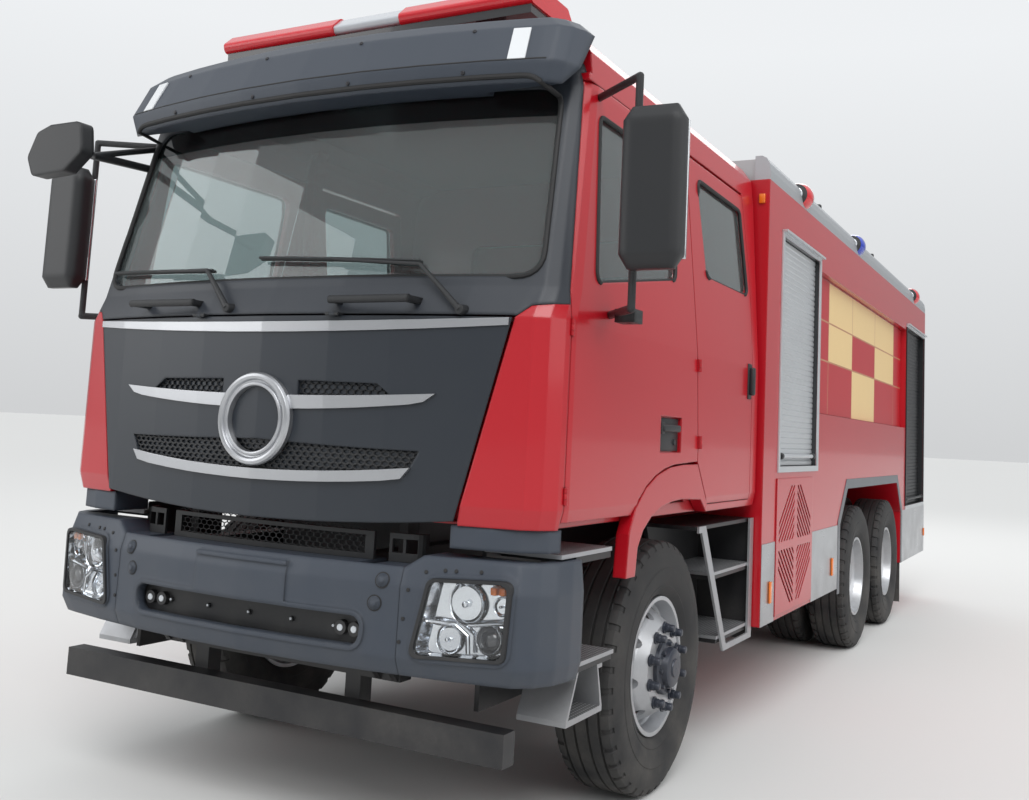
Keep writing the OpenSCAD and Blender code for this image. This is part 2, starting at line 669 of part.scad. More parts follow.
// Upper edge of the bumper seen from the front, lowered by t, with the raised pods at its ends
function bumper_edge(t, x = 0) = [[-half_w, 0], [half_w, 0], [half_w, pod_top - t], [770 - x, pod_top - t],
    [706 - x, bumper_top - t],
    [x - 706, bumper_top - t], [x - 770, pod_top - t], [-half_w, pod_top - t]];
slot_outline = rounded([[-slot_half, 757], [slot_half, 757], [slot_half + 14, 862],
    [-slot_half - 14, 862]], 40);
module bumper() here() color(slate) {
    difference() {
        union() {
            intersection() {
                bumper_form();
                along(-1700, -900, bumper_edge(0.5));
            }
            intersection() {
                bumper_form(-7);
                union() {
                    slab([-226, -1600, 866], [226, -1300, 1014]);
                    along(-1600, -1300, inset(slot_outline, -17));
                }
            }
            intersection() {
                bumper_form(-16);
                slab([-226, -1600, 1010], [226, -1300, 1024]);
            }
            both() intersection() {
                bumper_form(-6);
                along(-1700, -1100, inset(lamp_outline, -24));
            }
        }
        intersection() {
            loft([for (r = bumper_rows) [r[0], r[1] - bumper_t, r[2] + bumper_t, r[3], r[4]]], -900, 0, -10);
            along(-1700, -900, bumper_edge(14, -6));
        }
        slab([-1150, bumper_shelf, bumper_bottom - 20], [1150, -900, pod_top + 20]);
        along(-1700, -1100, slot_outline);
        both() {
            along(-1700, -1100, inset(lamp_outline, -0.3));
            slab([lug_x - 12, -1350, bumper_top - 40], [lug_x + lug_t + 12, -900, bumper_top + 10]);
            slab([701, -1600, bumper_bottom - 20], [704, -1340, bumper_top + 60]);
        }
    }
    both() slab([380, -1382, 860], [rail_x, -1180, 960]);
}
// Dark grille over the bumper, with a mesh window and two tow hook openings a side, and the strip behind
// the slot
grille_window = [[-470, 1066], [470, 1066], [470, 1132], [-470, 1132]];
hook_holes = [584, 640];
module lower_grille() here() color(dark) {
    difference() {
        translate([0, 0, bumper_top - 0.2]) linear_extrude(104) difference() {
            polygon(ring(700, -1298, -1190, 50, 40));
            polygon(ring(686, -1284, -1170, 40, 30));
        }
        along(-1400, -1150, grille_window);
        both() {
            for (x = hook_holes) slab([x, -1400, 1078], [x + 44, -1150, 1128]);
            slab([lug_x - 12, -1350, bumper_top - 40], [lug_x + lug_t + 12, -1150, bumper_top + 200]);
        }
    }
    slab([-560, -1345, 748], [560, -1333, 859.7]);
    for (x = [-410, -210, 0, 210, 410]) rod_y(-1354, -1345, 9, x, 805);
    both() for (x = [450, 512]) rod_y(-1366, -1345, 26, x, 806);
}
bumper_shelf = -1181;
lamp_back = -1230;
module headlamps() here() color(clear) both() intersection() {
    bumper_form(6);
    along(-1700, lamp_back, lamp_outline);
}

// Steps: structure, then treads
module cab_steps() here() color(dark) both() {
    slab([880, -970, 1070], [1195, -660, 1096]);
    slab([880, -970, 682], [1205, -640, 703]);
    slab([860, -1080, 520], [880, -640, 1150]);
    slab([rail_x, -1080, 800], [860, -1020, 860]);
    slab([rail_x, 1150, 800], [880, 1210, 860]);
    slab([900.3, 1240, 480], [1189, 1262, 1129]);
    slab([900.3, 700, 535], [1189, 1239.7, 556]);
    slab([900.3, 600, 855], [1189, 1239.7, 876]);
    across(880, 900, [[645, 480], [1262, 480], [1262, 1130], [440, 1130], [600, 800]]);
    slab([900.3, 351, 1110], [1189, 1239.7, 1129]);
}
module step_treads() here() color(silver) both() {
    slab([882, -1100, 1096.3], [1200, -660, 1112]);
    slab([882, -973, 703.3], [1210, -630, 719]);
    // Lower step, a strip bent to a U under the middle one
    across(1000, 1200, [[-965, 681.7], [-965, 664], [-936, 664], [-1010, 520], [-1010, 500], [-700, 500],
        [-700, 520],
        [-744, 664], [-710, 664], [-710, 681.7], [-758, 681.7], [-716, 522], [-992, 522], [-918, 681.7]]);
    slab([902, 690, 556.3], [1196, 1239, 572]);
    slab([902, 590, 876.3], [1196, 1239, 892]);
    // Silver edge plate of the crew steps
    across(1196.3, 1208, [[775, 490], [835, 490], [450, 1130], [351, 1130], [351, 1100], [395, 1100]]);
    slab([1196.3, 1196, 490], [1208, 1262, 1130]);
    slab([1196.3, 775.3, 490], [1208, 1195.7, 520]);
}

// Frame, axles and engine
module frame() here() color(dark) {
    both() difference() {
        slab([rail_x - 80, -1180, rail_low], [rail_x, body_rear - 60, rail_top]);
        slab([rail_x - 90, -1200, rail_low + 9], [rail_x - 9, body_rear, rail_top - 9]);
    }
    for (y = [-1150, 900, 2300, axle_2 - 500, axle_3 + 500, body_rear - 120])
        slab([-rail_x + 9, y, rail_low + 40], [rail_x - 9, y + 60, rail_top - 40]);
    slab([-1090, -1262, 400], [1090, -1182, 515]);
    both() {
        slab([rail_x - 79, -1182, 420], [rail_x - 9, -1110, rail_low]);
        slab([rail_x - 80, body_front + 10, rail_top], [rail_x, arch_front - 40, rail_top + 30]);
        slab([rail_x - 80, arch_front - 10, rail_top], [rail_x, arch_rear + 10, arch_top]);
        slab([rail_x - 80, arch_rear + 40, rail_top], [rail_x, body_rear - 80, rail_top + 30]);
        slab([rail_x - 80, 1000, rail_top], [rail_x, 1100, cab_bottom]);
        rod_x(lug_x - 30, lug_x + lug_t + 30, tilt_pin_r, -tilt_y, tilt_z);
        for (x = [lug_x - 30, lug_x + lug_t + 6])
            across(x, x + 24, [[-tilt_y - 40, tilt_z + 35], [-tilt_y - 40, tilt_z - 45], [-1182, 600],
                [-1110, 600],
                [-1110, 700], [-tilt_y + 45, tilt_z + 35]]);
    }
    slab([-lug_x - 80, -1182, 600], [lug_x + 80, -1110, 700]);
    // Rear towing jaw with an upright bore
    difference() {
        for (z = [tow_z - 40, tow_z + 15]) slab([-60, body_rear - 61, z],
            [60, body_rear + tow_reach + 38, z + 25]);
        rod_z(tow_z - 60, tow_z + 60, tow_bore_r, 0, body_rear + tow_reach);
    }
}
spring_seat = 585;
leaf_t = 60;
// Leaf pack with its ends at two places and its middle lower by drop
function leaves(y0, y1, z, drop, t) = concat(
    [for (i = [0:8]) let (u = i / 8) [y0 + (y1 - y0) * u, z - drop * 4 * u * (1 - u)]],
    [for (i = [8:-1:0]) let (u = i / 8) [y0 + (y1 - y0) * u,
        z + t * (0.35 + 2.6 * u * (1 - u)) - drop * 4 * u * (1 - u)]]);
module springs() here() color(dark) both() {
    across(spring_x - spring_w / 2, spring_x + spring_w / 2, leaves(-760, 760, 700, 110, leaf_t));
    for (y = [-760, 740]) slab([rail_x - 60, y, 690], [spring_x + spring_w / 2, y + 40, rail_low]);
    across(spring_x - spring_w / 2, spring_x + spring_w / 2,
        leaves(axle_2 - 60, axle_3 + 60, axle_z + 90, -40, leaf_t));
    slab([rail_x, (axle_2 + axle_3) / 2 - 90, axle_z + 130],
        [spring_x + spring_w / 2, (axle_2 + axle_3) / 2 + 90,
        rail_low + 100]);
}
module axles() here() color(dark) {
    difference() {
        union() {
            slab([-kingpin_x + 75, -55, 420], [kingpin_x - 75, 55, 520]);
            both() {
                slab([spring_x - 70, -90, 520], [spring_x + 70, 90, 589.8]);
                slab([kingpin_x - 115, -45, axle_z - 55], [kingpin_x, 45, axle_z + 55]);
                rod_z(axle_z - 55, axle_z + 55, 48, kingpin_x, 0);
            }
        }
        both() rod_z(axle_z - 200, axle_z + 200, kingpin_r + pin_play, kingpin_x, 0);
    }
    for (y = [axle_2, axle_3]) {
        rod_x(-rear_x + twin_pitch + 75, rear_x - twin_pitch - 75, 80, y, axle_z);
        rod_x(-rear_x - 60, rear_x + 60, hub_r, y, axle_z);
        rod_y(y - 150, y + 150, 200, 0, axle_z);
        both() slab([spring_x - 60, y - 60, axle_z], [spring_x + 60, y + 60, axle_z + 89.7]);
    }
}
module knuckle(left) here() color(dark) side(left) {
    difference() {
        union() {
            rod_z(axle_z + 56, axle_z + 105, 50, kingpin_x, 0);
            rod_z(axle_z - 105, axle_z - 56, 50, kingpin_x, 0);
            slab([kingpin_x + 52, -50, axle_z - 105], [kingpin_x + 72, 50, axle_z + 105]);
            slab([kingpin_x, -50, axle_z + 56], [kingpin_x + 72, 50, axle_z + 105]);
            slab([kingpin_x, -50, axle_z - 105], [kingpin_x + 72, 50, axle_z - 56]);
        }
    }
    rod_z(axle_z - 130, axle_z + 130, kingpin_r, kingpin_x, 0);
    rod_x(kingpin_x + 60, front_x + 85, spindle_r, 0, axle_z);
}
hub_r = 62;

module engine() here() color(steel) {
    slab([-335, -800, 640], [335, 270, 1480]);
    both() for (y = [-650, 100]) slab([335, y, 860], [rail_x - 9, y + 90, 930]);
}
module driveline() here() color(steel) {
    slab([-250, 270, 700], [250, 900, 1180]);
    rod_y(900, axle_2 - 150, 50, 0, axle_z + 160);
    rod_y(axle_2 + 150, axle_3 - 150, 50, 0, axle_z);
}
// Body
side_outline = [[body_front, locker_bottom], [arch_front - 10, locker_bottom], [arch_front, skirt_top],
    [arch_front + 250, arch_top], [arch_rear - 250, arch_top], [arch_rear, skirt_top - 30],
        [arch_rear, locker_bottom - 60],
    [body_rear, locker_bottom - 60], [body_rear, body_top], [body_front, body_top]];
shutter_y = body_front + 323;
rear_shutter_y = body_rear - 1265;
rear_shutter_w = 1160;
panel_y0 = shutter_y + shutter_w + 40;
panel_y1 = rear_shutter_y - 30;
panel_low = 1755;
panel_high = 2720;
channel_half = 600;
vent_y0 = 1560;
vent_y1 = 2440;
vent_z0 = 562;
vent_z1 = 1340;
beacon_at = [2120, 3880, 6840];
module body_shell() here() color(red) difference() {
    across(-half_w, half_w, side_outline);
    slab([-channel_half, body_front - 10, 0], [channel_half, body_rear + 10, rail_top + 30]);
    slab([-channel_half, arch_front - 20, 0], [channel_half, arch_rear + 20, arch_top]);
    both() {
        slab([half_w - shutter_depth, shutter_y, shutter_low],
            [half_w + 10, shutter_y + shutter_w, shutter_high]);
        slab([half_w - shutter_depth - 20, rear_shutter_y, rear_shutter_low],
            [half_w + 10, rear_shutter_y + rear_shutter_w, rear_shutter_high]);
        slab([half_w - recess_depth, panel_y0, panel_low], [half_w + 10, panel_y1, panel_high]);
        slab([half_w - 40, vent_y0 + 50, vent_z0 + 40], [half_w + 10, vent_y1 - 50, vent_z1 - 40]);
        for (y = beacon_at) translate([0, y, 0]) beacon(6);
    }
    slab([-700, body_rear - 80, 1100], [700, body_rear + 10, 2600]);
}
// Louvred doors over the front lockers' vents: slanted slots in four fields that meet in an X
slot_l = 300;
slot_count = 8;
module vent_doors() here() color(red) both() difference() {
    slab([half_w + 0.3, vent_y0, vent_z0], [half_w + 7, vent_y1, vent_z1]);
    translate([half_w, (vent_y0 + vent_y1) / 2, (vent_z0 + vent_z1) / 2])
        for (my = [0, 1]) mirror([0, my, 0]) for (mz = [0, 1]) mirror([0, 0, mz]) for (i = [0:slot_count - 1])
            intersection() {
                slab([-5, 34, 24], [20, 385, 345]);
                translate([0, 34, 60 + i * 48]) rotate([-38, 0, 0]) slab([-5, -60, -9], [20, 480, 9]);
            }
}
rail_outline = [[half_w - 92, body_top], [half_w - 0.5, body_top], [half_w - 0.5, body_top + 52],
    [half_w - 8, body_top + 96],
    [half_w - 26, body_top + 128], [half_w - 52, body_top + rail_height + 12],
        [half_w - 92, body_top + rail_height + 12]];
// Each sheet of the deck from seam to seam
deck_seams = [[body_front + 70, 4000], [4000, 5172], [5172, body_rear - 60]];
module roof_deck() here() color(steel) {
    both() difference() {
        along(body_front + 4, body_rear - 4, rail_outline);
        for (y = beacon_at) translate([0, y, 0]) beacon(0.3);
    }
    for (y = [body_front + 30, body_rear - 60])
        slab([-half_w + 92.3, y, body_top], [half_w - 92.3, y + 40, body_top + rail_height]);
    difference() {
        for (y = deck_seams)
            slab([-half_w + 92.3, y[0] + 0.3, body_top], [half_w - 92.3, y[1] - 0.3, deck_top]);
        both() for (y = beacon_at) translate([0, y, 0]) beacon(0.3);
    }
    for (y = [3100, 5200]) {
        slab([-330, y, deck_top + 0.3], [330, y + 620, deck_top + 46]);
        slab([-352, y - 22, deck_top + 46], [352, y + 642, deck_top + 66]);
    }
}
// Drum-shaped lamp on the rail, with its axis along the truck
beacon_x = half_w - 66;
beacon_z = body_top + 82;
module beacon(t) translate([beacon_x, 0, beacon_z]) rotate([90, 0, 0]) rotate_extrude($fn = 32)
    polygon([[0, -112 - t], [46 + t, -104 - t], [68 + t, -72 - t], [74 + t, -24], [74 + t, 24],
        [68 + t, 72 + t], [46 + t, 104 + t],
        [0, 112 + t]]);
// Shutters with slats, a frame, a drip rail and a lift bar
slat = 34;
frame_bar = 34;
module shutter(y0, w, low, high, depth) {
    x = half_w - depth;
    n = floor((high - low) / slat);
    pitch = (high - low) / n;
    along(y0 + 4, y0 + w - 4, concat([[x, high], [x, low]],
        [for (i = [0:n - 1]) each [[x + 22, low + i * pitch], [x + 28, low + i * pitch + 6],
            [x + 28, low + (i + 1) * pitch - 6], [x + 22, low + (i + 1) * pitch]]]));
    difference() {
        slab([half_w + 0.3, y0 - frame_bar, low - frame_bar],
            [half_w + 10, y0 + w + frame_bar, high + frame_bar]);
        slab([half_w - 10, y0, low], [half_w + 20, y0 + w, high]);
    }
    across(half_w + 10, half_w + 34, [[y0 - 40, high + 20], [y0 + w + 40, high + 20],
        [y0 + w + 40, high + 34], [y0 - 40, high + 34]]);
    rod_y(y0 + 70, y0 + w - 70, 13, half_w - 8, low + 60);
    for (y = [y0 + 90, y0 + w - 110]) slab([x + 28, y, low + 50], [half_w - 8, y + 20, low + 70]);
}
module shutters() here() color(silver) {
    both() {
        shutter(shutter_y, shutter_w, shutter_low, shutter_high, shutter_depth);
        shutter(rear_shutter_y, rear_shutter_w, rear_shutter_low, rear_shutter_high, shutter_depth + 20);
    }
    rear_n = 44;
    across(-696, 696, concat([[body_rear - 80, 2600], [body_rear - 80, 1100]], [for (i = [0:rear_n - 1]) each
        [[body_rear - 58, 1100 + i * 1500 / rear_n], [body_rear - 52, 1106 + i * 1500 / rear_n],
            [body_rear - 52, 1094 + (i + 1) * 1500 / rear_n],
                [body_rear - 58, 1100 + (i + 1) * 1500 / rear_n]]]));
    difference() {
        slab([-734, body_rear + 0.3, 1066], [734, body_rear + 10, 2634]);
        slab([-700, body_rear - 10, 1100], [700, body_rear + 20, 2600]);
    }
    slab([-740, body_rear + 10, 2620], [740, body_rear + 34, 2634]);
    rod_x(-620, 620, 13, body_rear - 12, 1160);
    for (x = [-600, 580]) slab([x, body_rear - 52, 1150], [x + 20, body_rear - 12, 1170]);
}
module side_panels() here() color("khaki") both()
    slab([half_w - recess_depth, panel_y0 + 10, panel_low + 10],
        [half_w - recess_depth + 6, panel_y1 - 10, panel_high - 10]);
skirt_t = 3;
module skirts() here() color(silver) both() {
    for (y = [[body_front + 3, vent_y0 - 6], [vent_y1 + 6, arch_front - trim_w - 3]])
        slab([half_w + 0.3, y[0], locker_bottom], [half_w + skirt_t, y[1], skirt_top]);
    slab([half_w + 0.3, arch_rear + trim_w + 3, locker_bottom - 60],
        [half_w + skirt_t, body_rear, min(skirt_top - 16, rear_shutter_low - frame_bar - 0.3)]);
}
trim_w = 70;
arch_line = [[arch_front, locker_bottom - 40], [arch_front, skirt_top], [arch_front + 250, arch_top],
    [arch_rear - 250, arch_top], [arch_rear, skirt_top - 30], [arch_rear, locker_bottom - 60]];
module arch_trims() here() color(steel) both() {
    across(half_w + 0.3, half_w + 5, concat(arch_line, [[arch_rear + trim_w, locker_bottom - 60],
        [arch_rear + trim_w, skirt_top], [arch_rear - 220, arch_top + trim_w],
            [arch_front + 220, arch_top + trim_w],
        [arch_front - trim_w, skirt_top + 20], [arch_front - trim_w, locker_bottom - 40]]));
    slab([channel_half + 30, arch_rear + 5, 120], [half_w - 5, arch_rear + 13, locker_bottom - 60.3]);
}
// Beacons on the rails, small work lamps, side reflectors and tail lamps
module lamps() here() color("darkorange") both() {
    for (y = beacon_at) translate([0, y, 0]) beacon(0);
    for (y = [2760, 4760]) slab([half_w - 86, y - 22, body_top + rail_height + 12],
        [half_w - 50, y + 22, body_top + rail_height + 46]);
    for (y = [1452, 3050]) slab([half_w + skirt_t, y - 22, 650], [half_w + skirt_t + 12, y + 22, 770]);
    slab([half_w + skirt_t, body_rear - 60, 640], [half_w + skirt_t + 12, body_rear - 12, 720]);
    slab([985, body_rear + 0.3, 620], [1215, body_rear + 46, 730]);
    slab([1080, body_rear + 0.3, 2860], [1215, body_rear + 40, 2950]);
}
module ladder() here() color(steel) {
    for (x = [-950, -780]) slab([x, body_rear + 0.3, 700], [x + 30, body_rear + 60, 3250]);
    for (z = [800:300:3100]) rod_x(-920, -780, 14, body_rear + 40, z);
    slab([-half_w + 50, body_rear + 0.3, 480], [half_w - 50, body_rear + rear_step, 540]);
    for (z = [1250, 2450]) rod_y(body_rear + 0.3, body_rear + 70, 12, 850, z);
    rod_z(1230, 2470, 16, 850, body_rear + 70);
    slab([620, body_rear + 0.3, 830], [960, body_rear + 8, 950]);
}
monitor_y = 2200;
deck_top = body_top + 12;
module monitor_base() here() color(red) {
    rod_z(deck_top, deck_top + monitor_base_h, 130, 0, monitor_y);
    rod_z(deck_top + monitor_base_h, deck_top + monitor_base_h + 60, 40, 0, monitor_y);
}
swivel_z = deck_top + monitor_base_h + 0.5;
elbow_z = swivel_z + 240;
module monitor_swivel() here() color(red) difference() {
    union() {
        rod_z(swivel_z, swivel_z + 120, 90, 0, monitor_y);
        both() slab([60, monitor_y - 50, swivel_z + 100], [85, monitor_y + 50, elbow_z + 50]);
    }
    rod_z(swivel_z - 5, swivel_z + 70, 40 + pin_play, 0, monitor_y);
    rod_x(-100, 100, 20 + pin_play, monitor_y, elbow_z);
}
module monitor_barrel() here() color(red) {
    rod_x(-110, 110, 20, monitor_y, elbow_z);
    rod_x(-55, 55, 55, monitor_y, elbow_z);
    rod_y(monitor_y - monitor_l, monitor_y, 45, 0, elbow_z);
}

// Mirrors
mirror_housing = rounded([[-115, -62], [115, -50], [115, 38], [-115, 50]], 36);
module mirror_arm(left) here() color(dark) side(left) {
    translate([cab_half + 295, -1140, 2120]) hull() {
        translate([0, 0, 50]) linear_extrude(480) polygon(mirror_housing);
        linear_extrude(580) polygon(inset(mirror_housing, 30));
    }
    difference() {
        union() {
            bar([cab_half + 204, -1092, 1990], [cab_half + 204, -1092, 2840], 15);
            bar([cab_half + 204, -1092, 2840], [cab_half - 80, -860, 2852], 15);
            bar([cab_half + 204, -1092, 1990], [cab_half - 20, -784, 2005], 16);
            slab([cab_half + 70, -930, 1962], [cab_half + 150, -850, 2012]);
        }
        cab_form(-0.3);
    }
}
// Wheels
bead_r = rim_d / 2 - 13.8;
function tyre_outline(w, r) = [[bead_r, -w / 2 + 42], [bead_r + 16, -w / 2 + 40], [bead_r + 34, -w / 2 + 20],
    [bead_r + 90, -w / 2], [r - 85, -w / 2], [r - 30, -w / 2 + 14], [r - 8, -w / 2 + 26], [r, -w / 2 + 44],
    [r, w / 2 - 44], [r - 8, w / 2 - 26], [r - 30, w / 2 - 14], [r - 85, w / 2], [bead_r + 90, w / 2],
    [bead_r + 34, w / 2 - 20], [bead_r + 16, w / 2 - 40], [bead_r, w / 2 - 42]];
module on_axle(x, y) translate([x, y, axle_z]) rotate([0, 90, 0]) children();
module tyre(x, y) on_axle(x, y) rotate_extrude($fn = 96) polygon(tyre_outline(tyre_w, tyre_d / 2));
f = rim_d / 2;
rim_outline = [[f, rim_w / 2], [f, rim_w / 2 - 9], [f - 14, rim_w / 2 - 14], [f - 22, 62], [f - 38, 40],
    [f - 38, -40],
    [f - 22, -62], [f - 14, 14 - rim_w / 2], [f, 9 - rim_w / 2], [f, -rim_w / 2], [f - 18, -rim_w / 2],
        [f - 34, -60],
    [f - 52, -36], [f - 52, 36], [f - 34, 60], [f - 18, rim_w / 2]];
disc_face = 150;
module wheel_disc(dish) difference() {
    rotate_extrude($fn = 72) polygon([[f - 45, 12], [f - 45, 34], [214, 104], [182, dish], [88, dish],
        [88, dish - 13],
        [176, dish - 13], [204, 92]]);
    for (i = [0:hand_holes - 1]) rotate(i * 360 / hand_holes + 12)
        translate([hand_hole_ring, 0, 0]) cylinder(h = 200, r = hand_hole_r, $fn = 24);
}
module rim_front(left) here() color(silver) side(left) on_axle(front_x, 0) {
    difference() {
        union() {
            rotate_extrude($fn = 96) polygon(rim_outline);
            wheel_disc(disc_face);
            translate([0, 0, -40]) cylinder(h = disc_face + 60, r = 90);
            translate([0, 0, -40]) cylinder(h = 40, r = 205);
        }
        translate([0, 0, -60]) cylinder(h = 150, r = spindle_r + pin_play);
    }
}
module rims_twin(left, y) here() color(silver) side(left) {
    difference() {
        union() {
            on_axle(rear_x, y) {
                rotate_extrude($fn = 96) polygon(rim_outline);
                mirror([0, 0, 1]) wheel_disc(twin_pitch / 2 - 1);
            }
            on_axle(rear_x - twin_pitch, y) {
                rotate_extrude($fn = 96) polygon(rim_outline);
                wheel_disc(twin_pitch / 2 + 1);
            }
            on_axle(rear_x - twin_pitch, y) translate([0, 0, -60]) cylinder(h = twin_pitch + 130, r = 100);
        }
        on_axle(rear_x - twin_pitch, y) translate([0, 0, -70])
            cylinder(h = twin_pitch + 131, r = hub_r + pin_play);
    }
}
module tyres_twin(left, y) here() color(dark) side(left) {
    tyre(rear_x, y);
    tyre(rear_x - twin_pitch, y);
}

frame();
bumper();
lower_grille();
headlamps();
axles();
springs();
engine();
driveline();
cab_steps();
step_treads();
body_shell();
roof_deck();
shutters();
vent_doors();
side_panels();
skirts();
arch_trims();
lamps();
ladder();
monitor_base();
monitor_swivel();
monitor_barrel();
cab_shell();
windscreen();
surround();
visor();
light_bar();
wings();
dashboard();
seats();
front_trim();
cab_hinges();
front_panel();
panel_chrome();
steering_wheel();
door_front(true);  // door_front_left
door_front(false);  // door_front_right
door_rear(true);  // door_rear_left
door_rear(false);  // door_rear_right
glass_front(true);  // glass_front_left
glass_front(false);  // glass_front_right
glass_rear(true);  // glass_rear_left
glass_rear(false);  // glass_rear_right
mirror_arm(true);  // mirror_left
mirror_arm(false);  // mirror_right
knuckle(true);  // knuckle_left
knuckle(false);  // knuckle_right
here() color(dark) side(true) tyre(front_x, 0);  // tyre_front_left
here() color(dark) side(false) tyre(front_x, 0);  // tyre_front_right
rim_front(true);  // rim_front_left
rim_front(false);  // rim_front_right
tyres_twin(true, axle_2);  // tyres_second_left
tyres_twin(false, axle_2);  // tyres_second_right
rims_twin(true, axle_2);  // rims_second_left
rims_twin(false, axle_2);  // rims_second_right
tyres_twin(true, axle_3);  // tyres_third_left
tyres_twin(false, axle_3);  // tyres_third_right
rims_twin(true, axle_3);  // rims_third_left
rims_twin(false, axle_3);  // rims_third_right
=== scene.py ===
# Airport fire truck: finishes, small pieces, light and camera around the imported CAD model.
# X points to the truck's left, Y to its rear and Z up, in metres, on the floor at Z = 0.
import json
import math

import bmesh
import bpy
from mathutils import Matrix, Vector
from mathutils.bvhtree import BVHTree


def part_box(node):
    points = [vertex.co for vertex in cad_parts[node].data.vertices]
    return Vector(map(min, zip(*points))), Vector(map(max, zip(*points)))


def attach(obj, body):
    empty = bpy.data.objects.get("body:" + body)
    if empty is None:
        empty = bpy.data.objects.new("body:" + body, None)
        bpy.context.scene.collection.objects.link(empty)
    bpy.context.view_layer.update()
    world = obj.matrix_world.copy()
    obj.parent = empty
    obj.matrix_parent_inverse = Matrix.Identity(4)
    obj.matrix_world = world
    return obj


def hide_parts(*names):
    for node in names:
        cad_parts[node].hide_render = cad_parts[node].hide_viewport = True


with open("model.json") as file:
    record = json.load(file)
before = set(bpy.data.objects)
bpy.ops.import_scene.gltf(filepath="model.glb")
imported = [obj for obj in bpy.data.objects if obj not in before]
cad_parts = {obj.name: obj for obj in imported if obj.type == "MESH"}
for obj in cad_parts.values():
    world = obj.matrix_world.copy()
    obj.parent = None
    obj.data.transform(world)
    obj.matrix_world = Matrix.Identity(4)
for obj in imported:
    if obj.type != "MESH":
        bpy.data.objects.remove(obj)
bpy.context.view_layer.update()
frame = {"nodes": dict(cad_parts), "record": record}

nodes = frame["nodes"]
tyreLow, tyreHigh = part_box("tyre_front_left")
axleY = (tyreLow[1] + tyreHigh[1]) / 2  # places along the truck are written from the front axle
axleZ = (tyreLow[2] + tyreHigh[2]) / 2
sides = (("left", 1), ("right", -1))


def at(x, y, z):
    return Vector((x, y + axleY, z))


# Camera
camera = {
    "place": (2.860, -4.488, 1.541),
    "yaw": 27.89,
    "pitch": 6.14,
    "roll": 2.77,
    "lens": 36.638,
    "shift": (-0.02495, -0.0782),
}


def makeCamera(s):
    yaw, pitch, roll = (math.radians(s[k]) for k in ("yaw", "pitch", "roll"))
    forward = Vector((-math.sin(yaw) * math.cos(pitch), math.cos(yaw) * math.cos(pitch), math.sin(pitch)))
    right = Vector((math.cos(yaw), math.sin(yaw), 0))
    up = right.cross(forward)
    leanRight = right * math.cos(roll) + up * math.sin(roll)
    leanUp = up * math.cos(roll) - right * math.sin(roll)
    data = bpy.data.cameras.new("camera")
    data.lens = s["lens"]
    data.sensor_width = 36
    data.shift_x, data.shift_y = s["shift"]
    data.clip_start, data.clip_end = 0.1, 300
    obj = bpy.data.objects.new("camera", data)
    bpy.context.scene.collection.objects.link(obj)
    turn = Matrix((leanRight, leanUp, -forward)).transposed().to_4x4()
    obj.matrix_world = Matrix.Translation(at(*s["place"])) @ turn
    bpy.context.scene.camera = obj


makeCamera(camera)
print("camera ready")

# Node helpers and the groups that several finishes share


def feed(tree, socket, source):
    if isinstance(source, bpy.types.NodeSocket):
        tree.links.new(source, socket)
    else:
        socket.default_value = source


def addNode(tree, kind, links=None, **values):
    node = tree.nodes.new(kind)
    for key, value in values.items():
        setattr(node, key, value)
    for socket, source in (links or {}).items():
        feed(tree, node.inputs[socket], source)
    return node


def doMath(tree, operation, a, b=0.0, clamp=False):
    node = addNode(tree, "ShaderNodeMath", {0: a, 1: b}, operation=operation, use_clamp=clamp)
    return node.outputs[0]


def mixColour(tree, factor, a, b):
    node = addNode(tree, "ShaderNodeMix", data_type="RGBA")
    for index, source in ((0, factor), (6, a), (7, b)):
        feed(tree, node.inputs[index], source)
    return node.outputs[2]


def mapRange(tree, value, low, high, outLow=0.0, outHigh=1.0):
    links = {"Value": value, "From Min": low, "From Max": high, "To Min": outLow, "To Max": outHigh}
    return addNode(tree, "ShaderNodeMapRange", links, clamp=True).outputs[0]


def noise(tree, coords, scale, detail=3.0, roughness=0.55):
    links = {"Vector": coords, "Scale": scale, "Detail": detail, "Roughness": roughness}
    return addNode(tree, "ShaderNodeTexNoise", links).outputs["Fac"]


def objectCoords(tree):
    return addNode(tree, "ShaderNodeTexCoord").outputs["Object"]


def newGroup(name, inputs, outputs):
    group = bpy.data.node_groups.new(name, "ShaderNodeTree")
    for label, kind, value in inputs:
        group.interface.new_socket(label, in_out="INPUT", socket_type=kind).default_value = value
    for label, kind in outputs:
        group.interface.new_socket(label, in_out="OUTPUT", socket_type=kind)
    return group, group.nodes.new("NodeGroupInput"), group.nodes.new("NodeGroupOutput")


